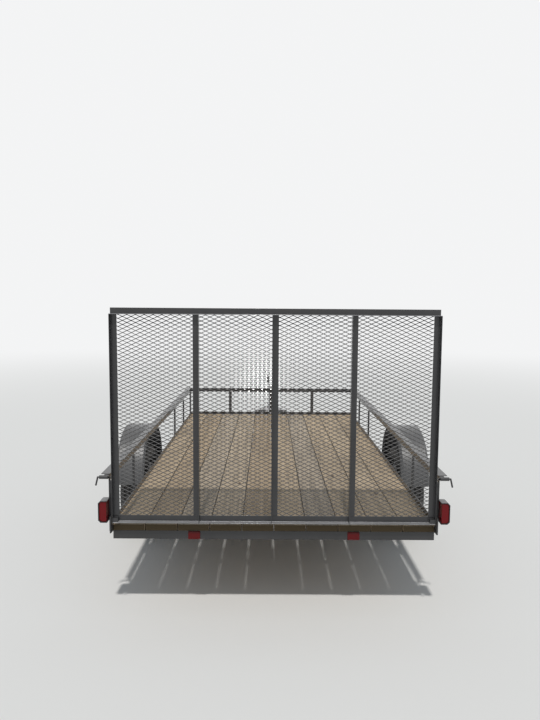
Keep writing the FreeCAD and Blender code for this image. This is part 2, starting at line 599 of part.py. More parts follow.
# radius and angle of the corners of one window
WINDOW = ((110, -6), (116, -11), (146, -12.5), (151, -9), (151, 9), (146, 12.5), (116, 11), (110, 6))
for k in range(WINDOW_COUNT):
    corners = [around(AXLE_Y, AXLE_Z, r, 360.0 * (k + 0.5) / WINDOW_COUNT + a) for r, a in WINDOW]
    rim = rim.cut(prism([(wx - 22, cy, cz) for cy, cz in corners], (50, 0, 0)))
for ny, nz in lug_places:
    rim = rim.cut(bar_x(STUD_R + 0.6, wx - 20, wx + 20, ny, nz))
both("rim", rim)

# half width and height of each corner of the tyre, the height as a share of the side wall
wall = TYRE_R - RIM_R
TYRE_OUT = ((48, 0), (61.5, 0), (61.5, 0.127), (76, 0.153), (94, 0.296), (102.5, 0.492), (99, 0.713), (90, 0.883),
            (78, 0.967), (62, 0.993), (30, 1))
TYRE_IN = ((30, 0.909), (72, 0.87), (84, 0.713), (90, 0.492), (82, 0.322), (66, 0.205), (48, 0.14))
outer = [(wx + a, RIM_R + h * wall) for a, h in TYRE_OUT] + [(wx - a, RIM_R + h * wall) for a, h in TYRE_OUT[::-1]]
inner = [(wx - a, RIM_R + h * wall) for a, h in TYRE_IN[::-1]] + [(wx + a, RIM_R + h * wall) for a, h in TYRE_IN]
both("tyre", turned(outer + inner, AXLE_Y, AXLE_Z))

# Safety chains: each hangs in a curve between two eyes on the outside of the tongue
chain_len = CHAIN_LINKS * CHAIN_STEP
low, high = 10.0, 4000.0
for step in range(60):
    sag = (low + high) / 2
    wide = 2 * sag * math.asinh(chain_len / 2 / sag)
    low, high = (low, sag) if wide > CHAIN_SPAN else (sag, high)
along = V(-math.sin(tilt), math.cos(tilt), 0)
outward = V(math.cos(tilt), math.sin(tilt), 0)
up = V(0, 0, 1)
chain_y = JACK_Y - 95.0
chain_mid = V(tongue_x(chain_y), chain_y, 0) + outward * 22.0
top_rise = math.sqrt(sag ** 2 + (chain_len / 2) ** 2)
EYE_TOP = (TONGUE_Z0 + TONGUE_Z1) / 2


def chain_point(k):
    """Joint number k of the chain, on a hanging curve that ends level at both eyes."""
    s = (k - CHAIN_LINKS / 2) * CHAIN_STEP
    return chain_mid + along * (sag * math.asinh(s / sag)) + up * (EYE_TOP + math.sqrt(sag ** 2 + s ** 2) - top_rise)


def link(a, b, across):
    """A flat link with cut corners between two joints, its opening seen from across."""
    run = (b - a).normalize()
    side = run.cross(across).normalize()
    thick = run.cross(side).normalize()
    middle = (a + b) * 0.5
    wires = []
    for grow in (CHAIN_WIRE, 0.0):
        half_l, half_w, cut = CHAIN_IN / 2 + grow, CHAIN_WIDE / 2 + grow, 2.0 + grow * 0.7
        ring = [(half_l, half_w - cut), (half_l - cut, half_w), (cut - half_l, half_w), (-half_l, half_w - cut),
                (-half_l, cut - half_w), (cut - half_l, -half_w), (half_l - cut, -half_w), (half_l, cut - half_w)]
        flat = [middle + run * p + side * q - thick * (CHAIN_WIRE / 2) for p, q in ring]
        wires.append(Part.Face(Part.makePolygon(flat + [flat[0]])).extrude(thick * CHAIN_WIRE))
    return wires[0].cut(wires[1])


chain = []
for k in range(CHAIN_LINKS):
    a, b = chain_point(k), chain_point(k + 1)
    chain.append(link(a, b, outward if k % 2 else (b - a).cross(outward)))
for k in (0, CHAIN_LINKS):
    end = chain_point(k) - (chain_point(k) - chain_point(1 if k == 0 else k - 1)).normalize() * 6.0
    reach = along * 17.0
    foot = outward * -22.0
    chain.append(rod(4, [tuple(end + foot - reach), tuple(end - reach), tuple(end + reach), tuple(end + foot + reach)]))
save("safety_chains", Part.makeCompound(chain + [mirrored(c) for c in chain]))
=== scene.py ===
# %% [markdown]
# # A utility trailer in Blender
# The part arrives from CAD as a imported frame: every rail, board, post and wheel is already
# in its place, in metres, with +Y forward and +Z up.  Blender's work here is the finish:
# sprayed paint and planks, a real expanded-metal gate, tread on the tyres, and the small
# fasteners that CAD leaves out.

# %% Load the frame and remember its box
import bpy
import bmesh
import json
import math
import random
from mathutils import Matrix, Vector

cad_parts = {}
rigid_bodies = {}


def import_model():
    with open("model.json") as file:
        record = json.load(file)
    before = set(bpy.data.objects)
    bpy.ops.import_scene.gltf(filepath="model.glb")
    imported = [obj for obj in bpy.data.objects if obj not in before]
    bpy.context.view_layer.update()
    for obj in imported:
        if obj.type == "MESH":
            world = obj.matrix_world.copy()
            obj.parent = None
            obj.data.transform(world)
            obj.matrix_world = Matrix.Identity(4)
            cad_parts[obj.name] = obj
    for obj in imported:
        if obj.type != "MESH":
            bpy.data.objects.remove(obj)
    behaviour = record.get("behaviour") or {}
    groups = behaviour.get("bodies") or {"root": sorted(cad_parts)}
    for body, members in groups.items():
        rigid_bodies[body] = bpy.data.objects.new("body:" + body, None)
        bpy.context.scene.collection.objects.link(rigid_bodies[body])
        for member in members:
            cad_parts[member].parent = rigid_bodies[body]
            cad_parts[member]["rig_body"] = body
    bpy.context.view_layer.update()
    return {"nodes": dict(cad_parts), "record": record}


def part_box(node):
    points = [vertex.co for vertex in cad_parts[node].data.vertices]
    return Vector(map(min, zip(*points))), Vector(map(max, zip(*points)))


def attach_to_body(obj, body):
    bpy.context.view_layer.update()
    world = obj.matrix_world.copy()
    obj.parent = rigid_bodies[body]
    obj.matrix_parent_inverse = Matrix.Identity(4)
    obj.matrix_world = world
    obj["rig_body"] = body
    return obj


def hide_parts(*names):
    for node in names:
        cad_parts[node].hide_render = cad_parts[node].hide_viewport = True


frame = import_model()
scene = bpy.context.scene

# %% [markdown]
# All pieces are placed from a few measures of the trailer. It would also work to type every
# number in, but then a change in CAD would leave the pieces behind.

# %% Measures read from the nodes
deck_lo, deck_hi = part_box("deck_boards")
rail_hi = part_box("side_rail_right")[1]
tyre_lo, tyre_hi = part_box("tyre_right")
sheet_lo, sheet_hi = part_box("gate_mesh")
DECK = deck_hi.z
REAR = deck_lo.y
AXLE_Y = (tyre_lo.y + tyre_hi.y) / 2
AXLE_Z = (tyre_lo.z + tyre_hi.z) / 2
WHEEL_X = (tyre_lo.x + tyre_hi.x) / 2
TYRE_R = (tyre_hi.z - tyre_lo.z) / 2
BOARDS = 10
BOARD_GAP = 0.006
BOARD_PITCH = (deck_hi.x - deck_lo.x + BOARD_GAP) / BOARDS
SIDES = (("left", -1), ("right", 1))
print("deck at", round(DECK, 3), "rear at", round(REAR, 3), "axle at", round(AXLE_Y, 3), round(AXLE_Z, 3))

# %% [markdown]
# ## The camera
# The photo was taken from behind, a little above the top of the gate.  A pinhole camera was fitted to
# the bed and the rails, and its numbers are used as they came out: distance behind the bed,
# height above the deck, a slight look down and a slight lean.  The lens is given for a 36 mm long side.

# %% Camera
ASIDE, BEHIND, ABOVE = -0.0425, 3.4359, 1.3085
LOOK_DOWN, LEAN, LOOK_ASIDE = 5.19, -0.40, -0.16
camera_data = bpy.data.cameras.new("photo_camera")
camera_data.lens = 29.44
camera_data.sensor_width = 36.0
camera_data.clip_end = 200.0
camera = bpy.data.objects.new("photo_camera", camera_data)
scene.collection.objects.link(camera)
camera.location = (ASIDE, REAR - BEHIND, DECK + ABOVE)
camera.rotation_euler = [math.radians(angle) for angle in (90 - LOOK_DOWN, LEAN, LOOK_ASIDE)]
scene.camera = camera
print("camera at", [round(v, 3) for v in camera.location])

# %% [markdown]
# ## A helper for nodes
# The world, the finishes and the patterned pieces are all trees of nodes.  Adding each node, setting its
# values and linking it takes many lines, so one small class does all three: an input is given by its
# name or number, and takes either a value or another node's socket.  A finish is such a tree around one
# Principled shader.

# %% Node helper


class Nodes:
    """A tree of nodes under construction."""

    def __init__(self, tree):
        self.tree = tree

    def feed(self, socket, value):
        """Links another node's socket, or sets a plain value."""
        if hasattr(value, "is_output"):
            self.tree.links.new(value, socket)
        else:
            socket.default_value = value

    def node(self, kind, inputs=None, **values):
        """Adds a node, sets its own values and then feeds its inputs."""
        made = self.tree.nodes.new(kind)
        for key, value in values.items():
            setattr(made, key, value)
        for key, value in (inputs or {}).items():
            self.feed(made.inputs[key], value)
        return made

    def math(self, operation, a, b=0.0):
        return self.node("ShaderNodeMath", {0: a, 1: b}, operation=operation).outputs[0]

    def times(self, a, b):
        return self.math("MULTIPLY", a, b)


class Finish(Nodes):
    """A material under construction."""

    def __init__(self, name):
        self.material = bpy.data.materials.new(name)
        self.material.use_nodes = True
        super().__init__(self.material.node_tree)
        self.shader = self.tree.nodes["Principled BSDF"]
        self.place = self.node("ShaderNodeTexCoord").outputs["Object"]

    def set(self, **values):
        """Feeds the shader's inputs, with an underscore for each space in a name."""
        for key, value in values.items():
            self.feed(self.shader.inputs[key.replace("_", " ")], value)


print("node helper ready")

# %% [markdown]
# ## Light and ground
# One soft sun stands high behind the camera, as in the photo, so the angle-iron legs and the gate throw
# the same short shadows.  A sun is used instead of an area lamp because its light does not fall off, so
# the floor stays even.  The sun's share on level ground and the world's share add up to the light at
# which a colour renders as it is written.  Camera and mirror rays see a plain pale world.

# %% World and sun
SUN_HEIGHT = math.radians(61.0)
SUN_SIZE = math.radians(2.2)
WORLD_SHARE = 0.42
PALE = (0.90, 0.905, 0.91, 1.0)
scene.view_settings.view_transform = "Standard"
scene.world = bpy.data.worlds.new("studio")
scene.world.use_nodes = True
studio = Nodes(scene.world.node_tree)
studio.tree.nodes.clear()
fill_light = studio.node("ShaderNodeBackground", {"Color": (0.84, 0.92, 1.0, 1.0), "Strength": WORLD_SHARE})
seen = studio.node("ShaderNodeBackground", {"Color": PALE})
rays = studio.node("ShaderNodeLightPath").outputs
seen_by = rays["Is Camera Ray"]
for ray in ("Is Glossy Ray", "Is Transmission Ray"):
    seen_by = studio.math("MAXIMUM", seen_by, rays[ray])
pick = studio.node("ShaderNodeMixShader", {0: seen_by, 1: fill_light.outputs[0], 2: seen.outputs[0]})
studio.node("ShaderNodeOutputWorld", {"Surface": pick.outputs[0]})

sun_data = bpy.data.lights.new("sun", "SUN")
sun_data.energy = math.pi * (1 - WORLD_SHARE) / math.sin(SUN_HEIGHT)
sun_data.angle = SUN_SIZE
sun_data.color = (1.0, 0.975, 0.94)
sun = bpy.data.objects.new("sun", sun_data)
scene.collection.objects.link(sun)
sun.location = (0, -8, 12)
sun.rotation_euler = (math.pi / 2 - SUN_HEIGHT, 0, math.radians(-1.5))
print("sun strength", round(sun_data.energy, 2))

# %% [markdown]
# The floor is a wide disc.  Near the trailer it is a plain diffuse floor that takes the shadow and throws
# light back up; far away it fades into the pale background, so no horizon line cuts the picture.

# %% Floor
FLOOR_R = 70.0
FADE_FROM, FADE_TO = 4.0, 22.0
floor_mesh = bpy.data.meshes.new("floor")
builder = bmesh.new()
bmesh.ops.create_circle(builder, cap_ends=True, segments=96, radius=FLOOR_R)
builder.to_mesh(floor_mesh)
builder.free()
floor = bpy.data.objects.new("floor", floor_mesh)
scene.collection.objects.link(floor)
ground = Finish("floor_paint")
ground.set(Base_Color=(0.76, 0.755, 0.74, 1.0), Roughness=1.0, Specular_IOR_Level=0.0)
far_glow = ground.node("ShaderNodeEmission", {"Color": PALE})
distance = ground.node("ShaderNodeVectorMath", {0: ground.place}, operation="LENGTH").outputs["Value"]
fade = ground.node("ShaderNodeMapRange", {"Value": distance, "From Min": FADE_FROM, "From Max": FADE_TO},
                   interpolation_type="SMOOTHSTEP")
only_seen = ground.times(fade.outputs["Result"], ground.node("ShaderNodeLightPath").outputs["Is Camera Ray"])
near_far = ground.node("ShaderNodeMixShader", {
    0: only_seen, 1: ground.shader.outputs[0], 2: far_glow.outputs[0]})
ground.feed(ground.tree.nodes["Material Output"].inputs["Surface"], near_far.outputs[0])
floor_mesh.materials.append(ground.material)
print("floor ready")

# %% [markdown]
# ## Helpers for finishes
# A finish is mostly noise, ramps and blends.  Each of these is one node with a few values, so each gets
# a short function that returns the socket to go on with.

# %% Finish helpers


def rgba(colour):
    """The four values of a colour socket, from a grey number or three values; a socket stays one."""
    if isinstance(colour, (int, float)):
        return (colour, colour, colour, 1)
    return colour if hasattr(colour, "is_output") else (*colour, 1)


def shade(colour, share):
    """The same colour, darker or lighter."""
    return tuple(min(1.0, c * share) for c in colour)


def stretched(finish, scale, vector=None):
    """Coordinates multiplied along each axis."""
    return finish.node("ShaderNodeMapping", {"Vector": vector or finish.place, "Scale": scale}).outputs[0]


def noise(finish, vector, scale, detail=4.0, rough=0.55):
    """Soft random patches; a larger scale gives smaller patches."""
    return finish.node("ShaderNodeTexNoise", {
        "Vector": vector, "Scale": scale, "Detail": detail, "Roughness": rough}).outputs["Fac"]


def ramp(finish, value, stops):
    """A colour ramp from (position, colour) pairs; a plain number is a grey."""
    made = finish.node("ShaderNodeValToRGB", {"Fac": value})
    while len(made.color_ramp.elements) < len(stops):
        made.color_ramp.elements.new(0.5)
    for element, (position, colour) in zip(made.color_ramp.elements, stops):
        element.position = position
        element.color = rgba(colour)
    return made.outputs["Color"]


def blend(finish, share, a, b, mode="MIX"):
    """Mixes two colours, of which b gets the share."""
    return finish.node("ShaderNodeMix", {0: share, 6: rgba(a), 7: rgba(b)}, data_type="RGBA",
                       blend_type=mode).outputs[2]


def bump(finish, height, strength, distance, under=None):
    """A normal that follows a height, on top of another normal where one is given."""
    values = {"Height": height, "Strength": strength, "Distance": distance}
    if under is not None:
        values["Normal"] = under
    return finish.node("ShaderNodeBump", values).outputs["Normal"]


print("finish helpers ready")

# %% [markdown]
# ## Dust
# Even a new trailer is never one colour: road dust lies on what faces up, and thins out in
# patches.  The same effect is wanted on paint, zinc and rubber, so it is a node group with its own
# inputs, built once.  It gives a mask; each material decides what colour its dust is.

# %% Dust group
dust_group = bpy.data.node_groups.new("dust_mask", "ShaderNodeTree")
for name in ("Patch size", "Upward", "Everywhere"):
    dust_group.interface.new_socket(name, in_out="INPUT", socket_type="NodeSocketFloat")
dust_group.interface.new_socket("Mask", in_out="OUTPUT", socket_type="NodeSocketFloat")
haze = Nodes(dust_group)
asked = haze.node("NodeGroupInput").outputs
patches = noise(haze, haze.node("ShaderNodeTexCoord").outputs["Object"], asked["Patch size"], 6.0, 0.65)
patchy = haze.node("ShaderNodeMapRange", {"Value": patches, "From Min": 0.35, "From Max": 0.68})
faces = haze.node("ShaderNodeSeparateXYZ", {0: haze.node("ShaderNodeNewGeometry").outputs["Normal"]})
upward = haze.node("ShaderNodeMath", {0: faces.outputs["Z"], 1: asked["Upward"], 2: asked["Everywhere"]},
                   operation="MULTIPLY_ADD", use_clamp=True)
haze.node("NodeGroupOutput", {"Mask": haze.times(upward.outputs[0], patchy.outputs["Result"])})


def dust(finish, patch_size, upward, everywhere):
    """The dust mask, with its share on upward faces and its share all over."""
    return finish.node("ShaderNodeGroup", {
        "Patch size": patch_size, "Upward": upward, "Everywhere": everywhere},
        node_tree=dust_group).outputs["Mask"]


print("dust group ready")

# %% [markdown]
# ## Black paint
# The steel was sprayed gloss black.  The colour moves a little from place to place, the roughness
# follows the dust, and a fine bump gives the orange-peel skin of sprayed paint.  A clear coat keeps a
# sharper shine on top.  The fenders have more of it, because smooth curved sheet shines the most.

# %% Black paint
GLINT_FADE = 0.004


def paint_finish(name, colour, dust_colour, dust_up, dust_all, roughness, painted_glint_below=None, **shine):
    """Sprayed paint; below a height, when one is given, a bright grey is painted in along the edge as a
    painted highlight.
    """
    finish = Finish(name)
    wide = noise(finish, finish.place, 3.0, 5.0)
    fine = noise(finish, finish.place, 90.0, 3.0)
    mask = dust(finish, 9.0, dust_up, dust_all)
    tone = ramp(finish, wide, [(0.3, shade(colour, 0.8)), (0.7, shade(colour, 1.25))])
    painted = blend(finish, mask, tone, dust_colour)
    # below the given height a bright grey is blended in, a painted highlight standing in for the sun's glint
    # on a lower edge
    if painted_glint_below is not None:
        height = finish.node("ShaderNodeSeparateXYZ", {0: finish.place}).outputs["Z"]
        glint_share = finish.node("ShaderNodeMapRange", {
            "Value": height, "From Min": painted_glint_below, "From Max": painted_glint_below - GLINT_FADE})
        painted = blend(finish, glint_share.outputs["Result"], painted, (0.20, 0.20, 0.21))
    skin = ramp(finish, wide, [(0.3, roughness - 0.04), (0.7, roughness + 0.06)])
    finish.set(Base_Color=painted, Roughness=blend(finish, mask, skin, 0.7),
               Normal=bump(finish, fine, 0.06, 0.001), Coat_Weight=0.3, Coat_Roughness=0.12)
    finish.set(**shine)
    return finish.material


BLACK, ROAD_DUST = (0.026, 0.026, 0.028), (0.15, 0.138, 0.12)
black_paint = paint_finish("black_paint", BLACK, ROAD_DUST, 0.05, 0.04, 0.30)
mesh_paint = paint_finish("mesh_paint", BLACK, ROAD_DUST, 0.10, 0.08, 0.34)
fender_paint = paint_finish("fender_paint", (0.022, 0.023, 0.026), (0.15, 0.14, 0.125), 0.08, 0.04, 0.42,
                            Specular_IOR_Level=0.6, Coat_Weight=0.8, Coat_IOR=1.7, Coat_Roughness=0.28)
# bright grey, half metal: a painted highlight for the sun's glint on the gate's bottom bar
scuffed_steel = paint_finish("scuffed_steel", (0.42, 0.42, 0.43), (0.22, 0.20, 0.18), 0.10, 0.10, 0.30,
                             Metallic=0.5)
print("made", black_paint.name)

# %% [markdown]
# ## Planks
# The deck is ten dressed planks, laid lengthwise.  Each plank has its own tone, from yellow tan to grey, so
# a random number per plank picks the tone.  Grain runs along Y: noise stretched hard in that
# direction.  Knots are rare dark ovals, and board ends are darker, because end grain soaks up water.

# %% Plank wood


def plank_finish():
    """Dressed softwood, with a tone and a grain of its own for each plank."""
    finish = Finish("plank_wood")
    across = finish.node("ShaderNodeSeparateXYZ", {0: finish.place}).outputs["X"]
    number = finish.node("ShaderNodeMath", {0: across, 1: 1 / BOARD_PITCH, 2: BOARDS / 2},
                         operation="MULTIPLY_ADD").outputs[0]
    lot = finish.node("ShaderNodeTexWhiteNoise", {"W": finish.math("FLOOR", number)}, noise_dimensions="1D")
    tone = ramp(finish, lot.outputs["Value"], [(0.0, (0.40, 0.305, 0.205)), (0.35, (0.47, 0.36, 0.24)),
                                              (0.7, (0.52, 0.41, 0.285)), (1.0, (0.41, 0.345, 0.27))])
    # shift the grain from plank to plank
    shift = finish.node("ShaderNodeVectorMath", {
        0: lot.outputs["Color"], 1: (3.0, 40.0, 3.0), 2: finish.place}, operation="MULTIPLY_ADD").outputs[0]
    grain = noise(finish, stretched(finish, (34.0, 1.0, 34.0), shift), 1.0, 8.0, 0.62)
    fibre = noise(finish, stretched(finish, (260.0, 5.0, 260.0), shift), 1.0, 4.0, 0.5)
    streak = ramp(finish, grain, [(0.30, 0.55), (0.5, 0.95), (0.68, 1.12)])
    colour = blend(finish, 1.0, tone, streak, "MULTIPLY")
    colour = blend(finish, 0.6, colour, ramp(finish, fibre, [(0.35, 0.72), (0.6, 1.05)]), "MULTIPLY")
    # knots: a few cells of a stretched Voronoi, dark in the middle
    cells = finish.node("ShaderNodeTexVoronoi", {
        "Vector": stretched(finish, (5.2, 1.7, 0.0), shift), "Scale": 1.0})
    knot = ramp(finish, cells.outputs["Distance"], [(0.0, 1.0), (0.05, 0.9), (0.085, 0.0)])
    colour = blend(finish, knot, colour, (0.075, 0.048, 0.028))
    stain = noise(finish, stretched(finish, (2.2, 0.9, 1.0)), 1.0, 5.0, 0.6)
    colour = blend(finish, ramp(finish, stain, [(0.48, 0.0), (0.75, 0.5)]), colour, (0.15, 0.125, 0.10))
    # end grain, where the face looks along the board
    face = finish.node("ShaderNodeSeparateXYZ", {0: finish.node("ShaderNodeNewGeometry").outputs["Normal"]})
    end_mask = ramp(finish, finish.math("ABSOLUTE", face.outputs["Y"]), [(0.6, 0.0), (0.9, 1.0)])
    rings = finish.node("ShaderNodeTexWave", {"Vector": shift, "Scale": 55.0, "Distortion": 6.0},
                        wave_type="RINGS", rings_direction="Y")
    end_tone = ramp(finish, rings.outputs["Fac"], [
        (0.0, (0.062, 0.044, 0.023)), (1.0, (0.098, 0.071, 0.038))])
    pores = bump(finish, fibre, 0.2, 0.001)
    finish.set(Base_Color=blend(finish, end_mask, colour, end_tone), Roughness=0.85, Specular_IOR_Level=0.3,
               Normal=bump(finish, grain, 0.3, 0.003, pores))
    return finish.material


plank_wood = plank_finish()
print("made", plank_wood.name)

# %% [markdown]
# ## Rubber, bright steel, silver paint and red plastic
# The other finishes are smaller areas but each still gets its own colour change and roughness.

# %% Other finishes


def rubber_finish():
    """Dull black rubber, grey with dust in patches."""
    finish = Finish("tyre_rubber")
    patch = noise(finish, finish.place, 14.0, 5.0)
    tone = ramp(finish, patch, [(0.3, (0.016, 0.016, 0.017)), (0.7, (0.030, 0.029, 0.028))])
    pores = noise(finish, finish.place, 220.0, 2.0)
    finish.set(Base_Color=blend(finish, dust(finish, 12.0, 0.12, 0.22), tone, (0.12, 0.108, 0.092)),
               Roughness=0.7, Normal=bump(finish, pores, 0.15, 0.001))
    return finish.material


def zinc_finish(name, colour, roughness, dust_all):
    """Galvanised steel, with the flecks of zinc crystals."""
    finish = Finish(name)
    flecks = finish.node("ShaderNodeTexVoronoi", {"Vector": finish.place, "Scale": 90.0}).outputs
    grey = finish.node("ShaderNodeRGBToBW", {0: flecks["Color"]}).outputs[0]
    tone = blend(finish, 0.5, colour, grey, "SOFT_LIGHT")
    edges = ramp(finish, flecks["Distance"], [(0.0, 0.0), (1.0, 0.5)])
    tone = blend(finish, edges, tone, shade(colour, 0.8))
    mask = dust(finish, 16.0, 0.2, dust_all)
    finish.set(Base_Color=blend(finish, mask, tone, (0.20, 0.17, 0.14)),
               Metallic=blend(finish, mask, 0.9, 0.1), Roughness=blend(finish, mask, roughness, 0.8))
    return finish.material


def lens_finish(name, colour):
    """Red plastic with a fine grid of prisms moulded into it."""
    finish = Finish(name)
    grid = finish.node("ShaderNodeTexVoronoi", {"Vector": finish.place, "Scale": 260.0, "Randomness": 0.0})
    prism = grid.outputs["Distance"]
    finish.set(Base_Color=ramp(finish, prism, [(0.0, colour), (0.7, shade(colour, 0.5))]), Roughness=0.16,
               Specular_IOR_Level=0.25, Normal=bump(finish, prism, 0.3, 0.002))
    return finish.material


tyre_rubber = rubber_finish()
zinc_plate = zinc_finish("zinc_plate", (0.50, 0.50, 0.51), 0.36, 0.2)
rim_silver = paint_finish("rim_silver", (0.50, 0.51, 0.52), (0.20, 0.17, 0.14), 0.15, 0.12, 0.35)
screw_dark = zinc_finish("screw_dark", (0.12, 0.11, 0.10), 0.5, 0.3)
black_plastic = paint_finish("black_plastic", (0.018, 0.018, 0.019), (0.12, 0.11, 0.10), 0.1, 0.1, 0.5)
red_lens = lens_finish("red_lens", (0.21, 0.004, 0.007))
red_reflector = lens_finish("red_reflector", (0.19, 0.005, 0.007))
print("made", [m.name for m in (tyre_rubber, zinc_plate, rim_silver, black_plastic, red_lens)])

# %% [markdown]
# ## Finish the CAD nodes
# Nodes whose shape is right keep their mesh and only get a better material.  The record says which
# slot each node has, so one table from slot to material dresses them all.

# %% Dress the nodes
by_slot = {
    "black_paint": black_paint,
    "deck_wood": plank_wood,
    "tyre_rubber": tyre_rubber,
    "rim_paint": rim_silver,
    "zinc": zinc_plate,
    "red_lens": red_lens,
}
slot_of = {part["node"]: part["material_slot"] for part in frame["record"]["subparts"]}
for node_name, node in frame["nodes"].items():
    node.data.materials.clear()
    node.data.materials.append(by_slot[slot_of[node_name]])
print("dressed", len(frame["nodes"]), "nodes")

# %% [markdown]
# ## Helpers for pieces
# A piece made in Blender is a mesh in the shared frame, so its object stays at the origin. Objects with
# a modifier are evaluated once and keep only the plain mesh that results.

# %% Piece helpers


def settle(piece):
    """Replaces an object's mesh by the result of its modifiers, and removes them."""
    evaluated = piece.evaluated_get(bpy.context.evaluated_depsgraph_get())
    plain = bpy.data.meshes.new_from_object(evaluated)
    plain.name = piece.name
    piece.modifiers.clear()
    piece.data = plain


def object_from(builder, name, material, sharp_angle, all_smooth=True):
    """Turns a bmesh into an object, with flat faces kept flat beside their rounded edges."""
    mesh = bpy.data.meshes.new(name)
    builder.to_mesh(mesh)
    builder.free()
    mesh.materials.append(material)
    if all_smooth:
        mesh.shade_smooth()
    mesh.set_sharp_from_angle(angle=math.radians(sharp_angle))
    piece = bpy.data.objects.new(name, mesh)
    scene.collection.objects.link(piece)
    piece.modifiers.new("even", "WEIGHTED_NORMAL").keep_sharp = True
    settle(piece)
    return piece


def attach(piece, body, slot, *replaced):
    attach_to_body(piece, body)
    if replaced:
        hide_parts(*replaced)
    return piece


def both(*names):
    """The names of the left and the right node of each pair."""
    return [name + "_" + side for name in names for side, sign in SIDES]


print("piece helpers ready, pairs are named like", both("tyre"))

# %% [markdown]
# What repeats on the trailer is grown by Geometry Nodes: the gate's mesh, chain links, weld beads, bolts
# and screws.  Their trees share a few steps, such as moving a shape or copying it onto points, so the
# node helper is extended with these.  The same patterns could be made by loops in Python, but a tree
# keeps its sizes as named inputs that can be changed in one place.

# %% Tree helper


class Tree(Nodes):
    """A Geometry Nodes tree under construction."""

    def __init__(self, name):
        super().__init__(bpy.data.node_groups.new(name, "GeometryNodeTree"))
        for way in ("INPUT", "OUTPUT"):
            self.tree.interface.new_socket("Geometry", in_out=way, socket_type="NodeSocketGeometry")
        self.start = self.node("NodeGroupInput")
        self.end = self.node("NodeGroupOutput")

    def ask(self, name, kind="Float"):
        """Adds a named input and returns its socket inside the tree."""
        self.tree.interface.new_socket(name, in_out="INPUT", socket_type="NodeSocket" + kind)
        return self.start.outputs[name]

    def base(self):
        """The points or lines that the tree grows on."""
        return self.start.outputs["Geometry"]

    def plus(self, a, b):
        return self.math("ADD", a, b)

    def vector(self, x, y, z):
        return self.node("ShaderNodeCombineXYZ", {0: x, 1: y, 2: z}).outputs[0]

    def cube(self, x, y, z):
        return self.node("GeometryNodeMeshCube", {"Size": self.vector(x, y, z)}).outputs[0]

    def ring(self, radius, points):
        return self.node("GeometryNodeCurvePrimitiveCircle", {
            "Resolution": points, "Radius": radius}).outputs[0]

    def moved(self, shape, place=(0, 0, 0), turn=(0, 0, 0)):
        return self.node("GeometryNodeTransform", {
            "Geometry": shape, "Translation": place, "Rotation": turn}).outputs[0]

    def soft(self, shape):
        return self.node("GeometryNodeSetShadeSmooth", {"Geometry": shape, "Shade Smooth": True}).outputs[0]

    def join(self, *shapes):
        made = self.node("GeometryNodeJoinGeometry")
        for shape in shapes:
            self.feed(made.inputs[0], shape)
        return made.outputs[0]

    def turn(self):
        """The turn that every base point brings along."""
        return self.node("GeometryNodeInputNamedAttribute", {"Name": "turn"},
                         data_type="FLOAT_VECTOR").outputs[0]

    def copies(self, points, shape, **more):
        """A copy of the shape on every point."""
        return self.node("GeometryNodeInstanceOnPoints", {
            "Points": points, "Instance": shape, **more}).outputs[0]

    def mode(self, made, word):
        """Sets a node's mode, which newer versions of Blender keep among its inputs."""
        if "Mode" in made.inputs:
            made.inputs["Mode"].default_value = word
        else:
            made.mode = word.upper()

    def finish(self, geometry):
        """Ends the tree with real geometry in the material of an input called Finish."""
        real = self.node("GeometryNodeRealizeInstances", {0: geometry})
        dressed = self.node("GeometryNodeSetMaterial", {
            "Geometry": real.outputs[0], "Material": self.ask("Finish", "Material")})
        self.feed(self.end.inputs[0], dressed.outputs[0])


print("tree helper ready")

# %% Growing a tree


def grow(name, tree, base_mesh, values):
    """Runs a tree on a base mesh and returns the result as an object with a plain mesh."""
    grown = bpy.data.objects.new(name, base_mesh)
    scene.collection.objects.link(grown)
    modifier = grown.modifiers.new("grow", "NODES")
    modifier.node_group = tree.tree
    for item in tree.tree.interface.items_tree:
        if item.in_out == "INPUT" and item.name in values:
            modifier[item.identifier] = values[item.name]
    settle(grown)
    print(name, "has", len(grown.data.polygons), "faces")
    return grown


def points_mesh(name, places):
    """A mesh of loose points; each place is a position and the turn of what will stand there."""
    mesh = bpy.data.meshes.new(name + "_points")
    mesh.from_pydata([tuple(place) for place, turn in places], [], [])
    turns = mesh.attributes.new("turn", "FLOAT_VECTOR", "POINT")
    for i, (place, turn) in enumerate(places):
        turns.data[i].vector = turn
    return mesh


def lines_mesh(name, lines):
    """A mesh of lines from point to point."""
    mesh = bpy.data.meshes.new(name + "_lines")
    points, edges = [], []
    for line in lines:
        edges += [(len(points) + i, len(points) + i + 1) for i in range(len(line) - 1)]
        points += [tuple(p) for p in line]
    mesh.from_pydata(points, edges, [])
    return mesh


print("ready to grow")

# %% [markdown]
# ## The gate's expanded metal
# Expanded metal is one steel sheet, slit and pulled open.  Each place where two strands stay
# joined is a short thick bond, and each strand is a flat bar twisted out of the sheet's plane, so it
# catches the light on its upper edge.  A CAD sheet with four thousand holes would be heavy, so the source
# has larger diamonds, and this tree makes the real ones: two grids of points, one shifted by half a
# diamond, with a bond and two strands on each point.

